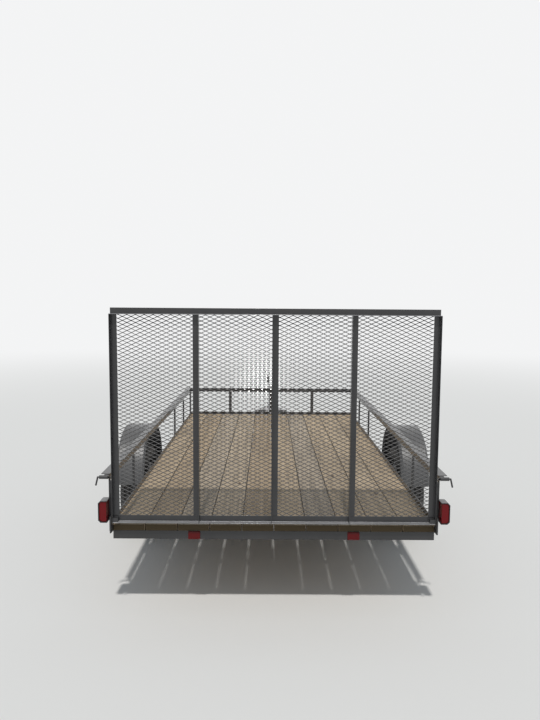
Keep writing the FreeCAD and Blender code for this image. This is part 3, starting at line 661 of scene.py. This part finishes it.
# %% Expanded metal tree
BOND_THICKER, BOND_HIGHER = 1.25, 1.75
mesh_tree = Tree("expanded_metal")
diamond_w, diamond_h = mesh_tree.ask("Diamond width"), mesh_tree.ask("Diamond height")
strand_w, strand_t = mesh_tree.ask("Strand width"), mesh_tree.ask("Strand thickness")
bond_l, twist = mesh_tree.ask("Bond length"), mesh_tree.ask("Twist")
columns, rows = mesh_tree.ask("Columns", "Int"), mesh_tree.ask("Rows", "Int")
middle = mesh_tree.ask("Middle", "Vector")
half_w, half_h = mesh_tree.times(diamond_w, 0.5), mesh_tree.times(diamond_h, 0.5)
quarter_w, quarter_h = mesh_tree.times(diamond_w, 0.25), mesh_tree.times(diamond_h, 0.25)
slope = mesh_tree.math("ARCTAN2", half_h, half_w)
run = mesh_tree.math("SQRT", mesh_tree.plus(mesh_tree.math("POWER", half_w, 2.0),
                                            mesh_tree.math("POWER", half_h, 2.0)))
unit_parts = []
for way in (1, -1):
    place = mesh_tree.vector(mesh_tree.times(quarter_w, way), 0.0, quarter_h)
    turn = mesh_tree.vector(twist, mesh_tree.times(slope, -way), 0.0)
    unit_parts.append(mesh_tree.moved(mesh_tree.cube(run, strand_t, strand_w), place, turn))
bond = mesh_tree.cube(bond_l, mesh_tree.times(strand_t, BOND_THICKER), mesh_tree.times(strand_w, BOND_HIGHER))
unit_parts.append(mesh_tree.moved(bond, turn=mesh_tree.vector(twist, 0.0, 0.0)))
grids = []
for shifted in (0.0, 1.0):
    across = mesh_tree.math("SUBTRACT", columns, shifted)
    grid = mesh_tree.node("GeometryNodeMeshGrid", {
        "Size X": mesh_tree.times(mesh_tree.math("SUBTRACT", across, 1.0), diamond_w),
        "Size Y": mesh_tree.times(mesh_tree.math("SUBTRACT", rows, 1.0), diamond_h),
        "Vertices X": across, "Vertices Y": rows})
    lift = mesh_tree.vector(0.0, 0.0, mesh_tree.times(half_h, shifted))
    grids.append(mesh_tree.moved(grid.outputs[0], lift, (math.pi / 2, 0, 0)))
sheet = mesh_tree.copies(mesh_tree.join(*grids), mesh_tree.join(*unit_parts))
mesh_tree.finish(mesh_tree.moved(sheet, middle))
print("expanded metal tree has", len(mesh_tree.tree.nodes), "nodes")

# %% [markdown]
# The gate wears the common mesh, whose pattern repeats every 51 by 23 mm.  As many whole diamonds are
# used as fit on the CAD sheet, and the pattern is centred on it.

# %% Gate mesh
DIAMOND_W, DIAMOND_H = 0.0508, 0.0234
SPARE = 0.006
gate_mesh = grow("gate_expanded_metal", mesh_tree, bpy.data.meshes.new("seed"), {
    "Diamond width": DIAMOND_W, "Diamond height": DIAMOND_H,
    "Strand width": 0.0036, "Strand thickness": 0.0018,
    "Bond length": 0.0085, "Twist": math.radians(-34),
    "Columns": int((sheet_hi.x - sheet_lo.x) / DIAMOND_W),
    "Rows": int((sheet_hi.z - sheet_lo.z - SPARE) / DIAMOND_H),
    "Middle": (0.0, (sheet_lo.y + sheet_hi.y) / 2, (sheet_lo.z + sheet_hi.z) / 2 - DIAMOND_H / 2),
    "Finish": mesh_paint})
attach(gate_mesh, "gate", "black_paint", "gate_mesh")

# %% [markdown]
# ## Edges of rolled steel
# Angle iron never has knife edges.  Its toes and heels are rounded by about a millimetre, and in the sun
# these edges draw the bright lines that outline a black trailer.  Each steel node is copied, its loose
# triangles are merged into flat faces again, and the sharp edges are rounded.  Flat faces stay flat shaded
# and only the rounding and the tubes are shaded smooth, so no shading runs across a flat leg.

# %% Ease the edges of a node
SAME_POINT = 2e-6
FLAT, BENT, SHARP = math.radians(0.5), math.radians(40), math.radians(50)
ROLLED_EDGE, SHEET_EDGE, LEAF_EDGE = 0.0012, 0.0008, 0.0006


def eased(node_name, width, material=None, steps=2):
    """A merged copy of a CAD node with rounded edges, standing in for the node."""
    node = frame["nodes"][node_name]
    builder = bmesh.new()
    builder.from_mesh(node.data)
    bmesh.ops.remove_doubles(builder, verts=builder.verts, dist=SAME_POINT)
    # a round node keeps all its facets, or its shine would run in waves
    merge_to = math.radians(0.8 if width > 0 else 0.1)
    bmesh.ops.dissolve_limit(builder, angle_limit=merge_to, verts=builder.verts, edges=builder.edges)
    for face in builder.faces:
        bends = [edge.calc_face_angle(0) for edge in face.edges if edge.is_manifold]
        face.smooth = any(FLAT < bend < BENT for bend in bends)
    if width > 0:
        sharp = [edge for edge in builder.edges if edge.is_manifold and edge.calc_face_angle(0) > SHARP]
        rounding = bmesh.ops.bevel(builder, geom=sharp, offset=width, segments=steps, profile=0.5,
                                   affect="EDGES", clamp_overlap=True)
        for face in rounding["faces"]:
            face.smooth = True
    piece = object_from(builder, node_name + "_eased", material or by_slot[slot_of[node_name]],
                        50 if width > 0 else 35, all_smooth=False)
    print(piece.name, len(piece.data.polygons), "faces")
    return attach(piece, node["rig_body"], slot_of[node_name], node_name)


steel_nodes = ["gate_uprights", "top_rail_front", "posts_front", "front_sill", "rear_sill", "crossmembers"]
steel_nodes += both("top_rail", "posts", "side_rail", "light_guard", "tongue", "hinge_bracket",
                    "fender_brackets")
for name in steel_nodes:
    eased(name, ROLLED_EDGE)

# %% [markdown]
# The gate's two bars carry a painted highlight: bright grey steel stands in for the sun's glint on their
# edges.  On the bottom bar it lies on the upward faces of its lower leg, and on the top bar along the toe of
# its hanging leg.  The first is a test on faces, and the second a finish that changes with height.

# %% Bars of the gate
PAINTED_GLINT_HEIGHT = 0.008
GLINT_BELOW_TOP = 0.032
bar_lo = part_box("gate_bottom_bar")[0]
top_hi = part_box("gate_top_bar")[1]
bottom_bar = eased("gate_bottom_bar", 0.0016)
bottom_bar.data.materials.append(scuffed_steel)
# upward faces low on the bar take the bright grey, a painted highlight for the sun's glint
for face in bottom_bar.data.polygons:
    if face.normal.z > 0.25 and face.normal.y < 0.3 and face.center.z < bar_lo.z + PAINTED_GLINT_HEIGHT:
        face.material_index = 1
# bright grey along the toe of the top bar's hanging leg, a painted highlight for the sun's glint
worn_bar = paint_finish("worn_bar", (0.027, 0.027, 0.029), (0.16, 0.145, 0.125), 0.10, 0.06, 0.30,
                        painted_glint_below=top_hi.z - GLINT_BELOW_TOP)
eased("gate_top_bar", 0.0014, worn_bar)

# %% [markdown]
# Round parts such as the axle, the jack, the wheels and the fenders only need their facets smoothed and a
# very small rounding.  The same helper does that with a smaller width, or with none.

# %% Smooth the round nodes
for name in both("fender"):
    eased(name, SHEET_EDGE, fender_paint)
round_nodes = [("axle", 0.0), ("jack_housing", 0.0), ("jack_leg", 0.0), ("jack_crank", SHEET_EDGE)]
round_nodes += [("coupler", 0.0)] + [(name, LEAF_EDGE) for name in both("spring")]
round_nodes += [(name, 0.0) for name in both(
    "hanger_front", "hanger_rear", "spring_clamp", "hub", "rim", "latch")]
for name, width in round_nodes:
    eased(name, width)

# %% [markdown]
# ## Deck boards
# The planks come planed on four sides with eased corners, so each board is a long block with a small round
# on its edges.  No two are quite alike: a board may sit half a millimetre low or stop a little
# short.  A fixed seed keeps the choice the same in every run.

# %% Deck boards


def soft_block(builder, lo, hi, rounding, steps):
    """Adds a block between two corners, with rounded edges."""
    block = bmesh.ops.create_cube(builder, size=1.0, matrix=Matrix.LocRotScale((lo + hi) / 2, None, hi - lo))
    edges = {edge for vert in block["verts"] for edge in vert.link_edges}
    bmesh.ops.bevel(builder, geom=list(edges), offset=rounding, segments=steps, profile=0.5, affect="EDGES")


MOST_LOW, MOST_SHORT, MOST_BACK = 0.0009, 0.003, 0.0012
random.seed(7)
builder = bmesh.new()
for i in range(BOARDS):
    left = deck_lo.x + i * BOARD_PITCH
    low = random.uniform(0.0, MOST_LOW)
    short = random.uniform(0.0, MOST_SHORT)
    near = Vector((left, deck_lo.y + random.uniform(0.0, MOST_BACK), deck_lo.z))
    far = Vector((left + BOARD_PITCH - BOARD_GAP, deck_hi.y - short, deck_hi.z - low))
    soft_block(builder, near, far, 0.0028, 3)
deck = attach(object_from(builder, "deck_planks", plank_wood, 50), "trailer", "deck_wood", "deck_boards")
print("deck has", len(deck.data.polygons), "faces")

# %% [markdown]
# ## Tyres
# A trailer tyre has plain straight ribs, split by zigzag grooves, with short cuts across the
# shoulders.  The section of the tyre is a list of points, turned about the axle.  While it
# turns, the edges of the grooves swing left and right, and the shoulder dips at every cut.  The side wall
# follows the CAD section, made smoother, and carries two fine rings.

# %% Tyre section
RIM_R = 0.1905
WALL = TYRE_R - RIM_R
TREAD, EDGE_DROP, GROOVE_DEPTH = 0.9995, 0.04, 0.052
LIP, FOOT = 0.0022, 0.0015
FIRST_CUT, CUT = 0.002, 0.006
side_wall = [
    (0.0480, 0.012), (0.0605, 0.012), (0.0612, 0.060), (0.0612, 0.125), (0.0680, 0.137), (0.0760, 0.160),
    (0.0860, 0.222), (0.0868, 0.236), (0.0892, 0.240), (0.0940, 0.297), (0.0988, 0.375), (0.1012, 0.440),
    (0.1022, 0.492), (0.1018, 0.560), (0.1006, 0.640), (0.0992, 0.652), (0.0986, 0.700), (0.0974, 0.712)]
shoulder = [
    (0.0950, 0.790), (0.0905, 0.865), (0.0880, 0.900), (0.0800, 0.955), (0.0730, 0.972), (0.0660, 0.982)]
lining = [(0.072, 0.87), (0.090, 0.492), (0.082, 0.322), (0.048, 0.14)]
grooves = ((0.0560, 0.0475), (0.0170, 0.0085), (-0.0085, -0.0170), (-0.0475, -0.0560))
# a point is its place across, its height as a share of the wall, whether it swings, and how deep it dips
half = [(w, h, 0, 0.0) for w, h in side_wall]
half += [(w, h, 0, CUT if k else FIRST_CUT) for k, (w, h) in enumerate(shoulder)]
section = list(half)
for a, b in grooves:
    top = TREAD - EDGE_DROP * abs(a + b)
    floor_height = top - GROOVE_DEPTH
    section += [(a + LIP, top, 1, 0.0), (a - FOOT, floor_height, 1, 0.0),
                (b + FOOT, floor_height, 1, 0.0), (b - LIP, top, 1, 0.0)]
section += [(-w, h, 0, dip) for w, h, swings, dip in reversed(half)]
section += [(-w, h, 0, 0.0) for w, h in reversed(lining)]
section += [(w, h, 0, 0.0) for w, h in lining]
print("the section has", len(section), "points")

# %% Turn the tyres
TURNS = 216
SWING = 0.0030


def tyre(side, sign):
    """Turns the section about the axle, with swinging grooves and a cut at every fourth step."""
    builder = bmesh.new()
    rings = []
    for step in range(TURNS):
        angle = 2 * math.pi * step / TURNS
        swing = SWING * (0, 1, 0, -1)[step % 4]
        cut = step % 4 == 1
        ring = []
        for w, h, swings, dip in section:
            radius = RIM_R + h * WALL - (dip if cut else 0.0)
            ring.append(builder.verts.new((
                sign * WHEEL_X + w + swing * swings, AXLE_Y + radius * math.cos(angle),
                AXLE_Z + radius * math.sin(angle))))
        rings.append(ring)
    for here, there in zip(rings, rings[1:] + rings[:1]):
        for i, j in zip(range(len(section)), [*range(1, len(section)), 0]):
            builder.faces.new((here[i], here[j], there[j], there[i]))
    bmesh.ops.recalc_face_normals(builder, faces=builder.faces)
    tread = object_from(builder, "tyre_tread_" + side, tyre_rubber, 38)
    print(tread.name, len(tread.data.polygons), "faces")
    attach(tread, "wheel_" + side, "tyre_rubber", "tyre_" + side)


for side, sign in SIDES:
    tyre(side, sign)

# %% [markdown]
# ## Round bars and chain links
# A bent rod is a line with rounded corners and a circle swept along it.  One small tree does that for every
# rod here, and a second one puts a whole link on each point.

# %% Rod tree


def rounded_corners(tree, curve, radius):
    """Rounds the corners of a curve in five short steps each."""
    made = tree.node("GeometryNodeFilletCurve", {"Curve": curve, "Radius": radius})
    tree.mode(made, "Poly")
    made.inputs["Count"].default_value = 5
    return made.outputs[0]


rod_tree = Tree("bent_rod")
rod_radius, rod_bend = rod_tree.ask("Radius"), rod_tree.ask("Bend")
rod_line = rod_tree.node("GeometryNodeMeshToCurve", {0: rod_tree.base()})
swept = rod_tree.node("GeometryNodeCurveToMesh", {
    "Curve": rounded_corners(rod_tree, rod_line.outputs[0], rod_bend),
    "Profile Curve": rod_tree.ring(rod_radius, 10), "Fill Caps": True})
rod_tree.finish(rod_tree.soft(swept.outputs[0]))
print("rod tree ready")

# %% Chain link tree
ROUND_END = 0.49
link_tree = Tree("chain_links")
wire = link_tree.ask("Wire radius")
clear_length, clear_width = link_tree.ask("Clear length"), link_tree.ask("Clear width")
across = link_tree.plus(clear_width, link_tree.times(wire, 2.0))
along = link_tree.plus(clear_length, link_tree.times(wire, 2.0))
loop = link_tree.node("GeometryNodeCurvePrimitiveQuadrilateral", {"Width": along, "Height": across})
one_link = link_tree.node("GeometryNodeCurveToMesh", {
    "Curve": rounded_corners(link_tree, loop.outputs[0], link_tree.times(across, ROUND_END)),
    "Profile Curve": link_tree.ring(wire, 8)})
link_tree.finish(link_tree.copies(link_tree.base(), link_tree.soft(one_link.outputs[0]),
                                  Rotation=link_tree.turn()))
print("link tree ready")

# %% [markdown]
# The CAD chain has flat links so that it stays light, and the links here take over the same curve.  A chain
# that hangs between two eyes follows a catenary, and how far it sags comes from its length and its span.
# That has no closed formula, so the sag is found by halving.

# %% The curve of a hanging chain
WIRE_RADIUS, CLEAR_LENGTH, CLEAR_WIDTH, PLAY = 0.0035, 0.026, 0.010, 0.0018
LINKS, SPAN = 21, 0.365
STEP = CLEAR_LENGTH - PLAY
low, high = 0.01, 4.0
for _ in range(60):
    sag = (low + high) / 2
    wide = 2 * sag * math.asinh(LINKS * STEP / 2 / sag)
    low, high = (low, sag) if wide > SPAN else (sag, high)
eye_rise = math.sqrt(sag ** 2 + (LINKS * STEP / 2) ** 2)


def hang(s):
    """The place along and above the eyes' line, a length s along the chain from its middle."""
    return sag * math.asinh(s / sag), math.sqrt(sag ** 2 + s ** 2) - eye_rise


print("the chain hangs", round(-hang(0)[1], 3), "m below its eyes")

# %% [markdown]
# One chain hangs along each tongue channel, between two bent eyes that are welded to the channel's outer
# face.  Every second link stands on edge.

# %% Safety chains
TILT = math.radians(25)
BALL_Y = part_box("coupler")[1].y - 0.038
JACK_Y = BALL_Y - 0.405
NOSE_X, NOSE_BACK = 0.060, 0.157
HANG_BACK, STAND_OFF = 0.095, 0.022
EYE_HALF, EYE_OVERLAP = 0.017, 0.006
tongue_lo, tongue_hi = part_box("tongue_right")
eye_z = (tongue_lo.z + tongue_hi.z) / 2


def tongue_face(y):
    """Outer face of the right tongue channel at a place along the trailer."""
    return NOSE_X + (BALL_Y - NOSE_BACK - y) * math.tan(TILT)


links, eyes = [], []
for side, sign in SIDES:
    along_way = Vector((-sign * math.sin(TILT), math.cos(TILT), 0))
    outward = Vector((sign * math.cos(TILT), math.sin(TILT), 0))
    hang_y = JACK_Y - HANG_BACK
    chain_middle = Vector((sign * tongue_face(hang_y), hang_y, 0)) + outward * STAND_OFF
    joints = []
    for k in range(LINKS + 1):
        reach, rise = hang((k - LINKS / 2) * STEP)
        joints.append(chain_middle + along_way * reach + Vector((0, 0, eye_z + rise)))
    for k, (a, b) in enumerate(zip(joints, joints[1:])):
        way = (b - a).normalized()
        flat = way.cross(outward if k % 2 else way.cross(outward)).normalized()
        turn = Matrix((way, flat, way.cross(flat))).transposed().to_euler()
        links.append(((a + b) / 2, tuple(turn)))
    for end, inner in ((joints[0], joints[1]), (joints[-1], joints[-2])):
        end = end - (end - inner).normalized() * EYE_OVERLAP
        half_eye, foot = along_way * EYE_HALF, outward * -STAND_OFF
        eyes.append([end + foot - half_eye, end - half_eye, end + half_eye, end + foot + half_eye])
chain = grow("chain_links", link_tree, points_mesh("chain", links), {
    "Wire radius": WIRE_RADIUS, "Clear length": CLEAR_LENGTH, "Clear width": CLEAR_WIDTH,
    "Finish": zinc_plate})
attach(chain, "trailer", "zinc", "safety_chains")
eye_rods = grow("chain_eyes", rod_tree, lines_mesh("eyes", eyes), {
    "Radius": 0.004, "Bend": 0.009, "Finish": black_paint})
attach(eye_rods, "trailer", "black_paint", "safety_chains")

# %% [markdown]
# ## Weld beads
# The whole frame is held by short welds.  A bead is a row of small overlapping drops, so this tree walks
# along each seam and puts a drop every three millimetres, each a little different in size.  The drops
# have only twenty faces, because there are hundreds of them, and they are smooth shaded.

# %% Weld tree
weld_tree = Tree("weld_beads")
drop_size, drop_pitch = weld_tree.ask("Drop size"), weld_tree.ask("Pitch")
seam = weld_tree.node("GeometryNodeMeshToCurve", {0: weld_tree.base()})
steps_along = weld_tree.node("GeometryNodeResampleCurve", {"Curve": seam.outputs[0]})
weld_tree.mode(steps_along, "Length")
weld_tree.feed(steps_along.inputs["Length"], drop_pitch)
drop = weld_tree.node("GeometryNodeMeshIcoSphere", {"Radius": drop_size, "Subdivisions": 1})
size_lot = weld_tree.node("FunctionNodeRandomValue", {
    "Min": (0.8, 0.8, 0.7), "Max": (1.15, 1.15, 1.0), "Seed": 3}, data_type="FLOAT_VECTOR")
weld_tree.finish(weld_tree.copies(steps_along.outputs[0], weld_tree.soft(drop.outputs[0]),
                                  Scale=size_lot.outputs[0]))
print("weld tree ready")

# %% [markdown]
# The seams follow the posts and uprights, and several of these share one CAD node.  So a helper first
# splits such a node into its separate solids and gives the box of each.

# %% Boxes of separate solids


def loose_boxes(node_name):
    """The boxes of the separate solids in a CAD node, from left to right and from rear to front."""
    builder = bmesh.new()
    builder.from_mesh(frame["nodes"][node_name].data)
    bmesh.ops.remove_doubles(builder, verts=builder.verts, dist=SAME_POINT)
    waiting, boxes = set(builder.verts), []
    while waiting:
        solid, reached = [], [waiting.pop()]
        while reached:
            vert = reached.pop()
            solid.append(vert.co)
            near = {edge.other_vert(vert) for edge in vert.link_edges} & waiting
            waiting -= near
            reached += near
        boxes.append((Vector([min(place[i] for place in solid) for i in range(3)]),
                      Vector([max(place[i] for place in solid) for i in range(3)])))
    builder.free()
    return sorted(boxes, key=lambda pair: (round(pair[0].x, 3), pair[0].y))


uprights = loose_boxes("gate_uprights")
print("the gate has", len(uprights), "uprights")

# %% Seams on the trailer and on the gate
# the legs of the gate's bars and of the top rails, with room for the bead at the toe
LEG, RAIL_LEG = 0.0385, 0.0405
STEEL, LIP_RISE, BEAD_IN = 0.0034, 0.028, 0.003
SKIN, NEAR_HEEL, HANGER_IN = 0.0005, 0.0035, 0.011
gate_seams = []
for lo, hi in uprights:
    face_y = hi.y - STEEL
    for z in (bar_lo.z + LEG, top_hi.z - LEG):
        gate_seams.append([(lo.x + BEAD_IN, face_y, z), (hi.x - BEAD_IN, face_y, z)])
trailer_seams = []
top_rail_lo, top_rail_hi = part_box("top_rail_right")
rail_edge = top_rail_hi.z - RAIL_LEG
lip_top = DECK + LIP_RISE
for side, sign in SIDES:
    rail_x = sign * (rail_hi.x + SKIN)
    heel_x = sign * (top_rail_lo.x + NEAR_HEEL)
    for lo, hi in loose_boxes("posts_" + side):
        for y in (lo.y - 0.001, lo.y + 0.005):
            trailer_seams.append([(rail_x, y, lo.z + 0.004), (rail_x, y, lip_top)])
        trailer_seams.append([(heel_x, lo.y + BEAD_IN, rail_edge), (heel_x, hi.y - BEAD_IN, rail_edge)])
    for hanger in ("hanger_front_", "hanger_rear_"):
        lo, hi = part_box(hanger + side)
        top = hi.z - 0.002
        for x in (lo.x + HANGER_IN, hi.x - HANGER_IN):
            trailer_seams.append([(x, lo.y + BEAD_IN, top), (x, hi.y - BEAD_IN, top)])
for lo, hi in loose_boxes("posts_front"):
    for x in (lo.x - 0.001, hi.x + 0.001):
        trailer_seams.append([(x, lo.y + 0.002, lo.z + 0.004), (x, lo.y + 0.002, lip_top)])
for name, body, seams in (("gate_welds", "gate", gate_seams), ("frame_welds", "trailer", trailer_seams)):
    beads = grow(name, weld_tree, lines_mesh(name, seams), {
        "Drop size": 0.0026, "Pitch": 0.0031, "Finish": black_paint})
    attach(beads, body, "black_paint")

# %% [markdown]
# ## Bolts and screws
# One tree makes a washer with a six-sided head and sets it on each point, turned by the point's own
# "turn".  It gives the hanger bolts, the coupler bolts and the bolts of the jack plate.  The deck screws
# have flat round heads, so they have a tree of their own.

# %% Bolt tree
CROWN_TOP, CROWN_FOOT, CROWN_HEIGHT = 0.62, 0.86, 0.14
bolt_tree = Tree("hex_bolts")
head_radius, head_height = bolt_tree.ask("Head radius"), bolt_tree.ask("Head height")
washer_radius, washer_height = bolt_tree.ask("Washer radius"), bolt_tree.ask("Washer height")


def standing(kind, sizes, bottom, height):
    """A cylinder or a cone of the bolt, lifted so that it stands on a given height."""
    shape = bolt_tree.node("GeometryNodeMesh" + kind, {**sizes, "Depth": height}).outputs[0]
    # a cylinder is made around its middle, and a cone on its base
    lift = bolt_tree.plus(bottom, bolt_tree.times(height, 0.5)) if kind == "Cylinder" else bottom
    return bolt_tree.moved(shape, bolt_tree.vector(0.0, 0.0, lift))


washer = standing("Cylinder", {"Vertices": 14, "Radius": washer_radius}, 0.0, washer_height)
head = standing("Cylinder", {"Vertices": 6, "Radius": head_radius}, washer_height, head_height)
crown = standing("Cone", {
    "Vertices": 12, "Radius Top": bolt_tree.times(head_radius, CROWN_TOP),
    "Radius Bottom": bolt_tree.times(head_radius, CROWN_FOOT)},
    bolt_tree.plus(washer_height, head_height), bolt_tree.times(head_height, CROWN_HEIGHT))
bolt_tree.finish(bolt_tree.copies(bolt_tree.base(), bolt_tree.join(washer, head, crown),
                                  Rotation=bolt_tree.turn()))
print("bolt tree ready")

# %% Bolts of the hangers, coupler and jack


def facing(direction):
    """The turn that points a bolt's axis along a direction."""
    return tuple(Vector((0, 0, 1)).rotation_difference(Vector(direction).normalized()).to_euler())


HANGER_BOLTS_IN, HANGER_BOLTS_UP = 0.004, (("hanger_front_", 0.018), ("hanger_rear_", 0.012))
COUPLER_BOLTS_BACK, COUPLER_BOLTS_DOWN, COUPLER_WALL = (0.262, 0.196, 0.140), 0.062, 0.006
JACK_BOLTS, JACK_PLATE = ((-0.085, -0.052), (0.085, -0.052), (0.0, 0.068)), 0.008
coupler_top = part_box("coupler")[1].z
places = []
for side, sign in SIDES:
    for hanger, rise in HANGER_BOLTS_UP:
        lo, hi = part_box(hanger + side)
        for x, way in ((lo.x + HANGER_BOLTS_IN, -1), (hi.x - HANGER_BOLTS_IN, 1)):
            places.append((Vector((x, (lo.y + hi.y) / 2, lo.z + rise)), facing((way, 0, 0))))
    for back in COUPLER_BOLTS_BACK:
        y = BALL_Y - back
        outer = sign * (tongue_face(y) + COUPLER_WALL / math.cos(TILT))
        places.append((Vector((outer, y, coupler_top - COUPLER_BOLTS_DOWN)),
                       facing((sign * math.cos(TILT), math.sin(TILT), 0))))
for x, y in JACK_BOLTS:
    places.append((Vector((x, JACK_Y + y, tongue_hi.z + JACK_PLATE)), (0, 0, 0)))
bolts = grow("frame_bolts", bolt_tree, points_mesh("bolts", places), {
    "Head radius": 0.0105, "Head height": 0.0075, "Washer radius": 0.0135, "Washer height": 0.002,
    "Finish": zinc_plate})
attach(bolts, "trailer", "zinc")

# %% [markdown]
# Two screws hold each board on every crossmember and on the rear sill.  They are driven by hand, so each
# one is a few millimetres out of line.

# %% Deck screws
HEAD_TOP, SUNK = 0.72, 0.0012
FROM_EDGE, FROM_REAR, INTO_MEMBER = 0.032, 0.024, 0.030
screw_tree = Tree("deck_screws")
screw_radius, screw_rise = screw_tree.ask("Head radius"), screw_tree.ask("Rise")
screw_head = screw_tree.node("GeometryNodeMeshCone", {
    "Vertices": 10, "Radius Top": screw_tree.times(screw_radius, HEAD_TOP), "Radius Bottom": screw_radius,
    "Depth": screw_rise})
screw_tree.finish(screw_tree.copies(screw_tree.base(), screw_head.outputs[0]))
rows_y = [REAR + FROM_REAR] + [lo.y + INTO_MEMBER for lo, hi in loose_boxes("crossmembers")]
places = []
for y in rows_y:
    for i in range(BOARDS):
        board_x = deck_lo.x + i * BOARD_PITCH
        for x in (board_x + FROM_EDGE, board_x + BOARD_PITCH - BOARD_GAP - FROM_EDGE):
            wander = Vector((random.uniform(-0.004, 0.004), random.uniform(-0.005, 0.005), 0))
            places.append((Vector((x, y, DECK - SUNK)) + wander, (0, 0, 0)))
screws = grow("deck_screws", screw_tree, points_mesh("screws", places), {
    "Head radius": 0.0056, "Rise": 0.0014, "Finish": screw_dark})
attach(screws, "trailer", "zinc")

# %% [markdown]
# ## Lamps, reflectors, valve stems and the crank grip
# A lamp is a red lens clipped on a black base, so the lens gets a soft edge and a base behind it.  It fills
# its guard and reaches almost to the guard's edge, as a driver behind sees it.

# %% Lamps and reflectors
LENS_OUT, LENS_WIDER = 0.026, 0.002
BASE_DEPTH, BASE_WIDER = 0.008, 0.0015
for lamp, reflector, base in zip(both("tail_light"), both("reflector"), both("lamp_base")):
    lens = eased(lamp, 0.0030, red_lens, 3)
    eased(reflector, 0.0022, red_reflector, 3)
    lo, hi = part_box(lamp)
    centre = (lo + hi) / 2
    for vert in lens.data.vertices:
        vert.co.x += LENS_WIDER if vert.co.x > centre.x else -LENS_WIDER
        vert.co.z += LENS_WIDER if vert.co.z > centre.z else -LENS_WIDER
        vert.co.y -= LENS_OUT if vert.co.y < centre.y else 0.0
    builder = bmesh.new()
    soft_block(builder, Vector((lo.x - BASE_WIDER, hi.y - BASE_DEPTH, lo.z - BASE_WIDER)),
               Vector((hi.x + BASE_WIDER, hi.y, hi.z + BASE_WIDER)), 0.003, 2)
    attach(object_from(builder, base, black_plastic, 45), "trailer", "black_paint")
    print(lamp, "is", round(hi.x - lo.x, 3), "wide and", round(hi.z - lo.z, 3), "high")

# %% [markdown]
# Each wheel gets a rubber valve stem, a short bent rod through the rim.  It is drawn at the top of the
# wheel, by how far out it is from the wheel's middle and how high above the axle.

# %% Valve stems
STEM = ((-0.006, 0.152), (0.006, 0.150), (0.026, 0.141))
for side, sign in SIDES:
    line = [(sign * (WHEEL_X + out), AXLE_Y, AXLE_Z + up) for out, up in STEM]
    stem = grow("valve_stem_" + side, rod_tree, lines_mesh("stem", [line]), {
        "Radius": 0.0048, "Bend": 0.004, "Finish": tyre_rubber})
    attach(stem, "wheel_" + side, "tyre_rubber")

# %% [markdown]
# The crank of the jack ends in a plastic grip, a cylinder with softened rims, pushed over the upright pin
# at the end of the crank's arm.

# %% Crank grip
ARM, ARM_TURN = 0.120, math.radians(20)
GRIP_R, GRIP_LENGTH, GRIP_DOWN = 0.0126, 0.080, 0.0415
crank_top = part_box("jack_crank")[1].z
grip_middle = (-ARM * math.sin(ARM_TURN), JACK_Y + ARM * math.cos(ARM_TURN), crank_top - GRIP_DOWN)
builder = bmesh.new()
bmesh.ops.create_cone(builder, cap_ends=True, segments=28, radius1=GRIP_R, radius2=GRIP_R,
                      depth=GRIP_LENGTH, matrix=Matrix.Translation(grip_middle))
rims = [edge for edge in builder.edges if edge.calc_face_angle(0) > 1.0]
bmesh.ops.bevel(builder, geom=rims, offset=0.003, segments=3, profile=0.5, affect="EDGES")
attach(object_from(builder, "crank_grip", black_plastic, 40), "trailer", "black_paint")
print("crank top at", round(crank_top, 3))
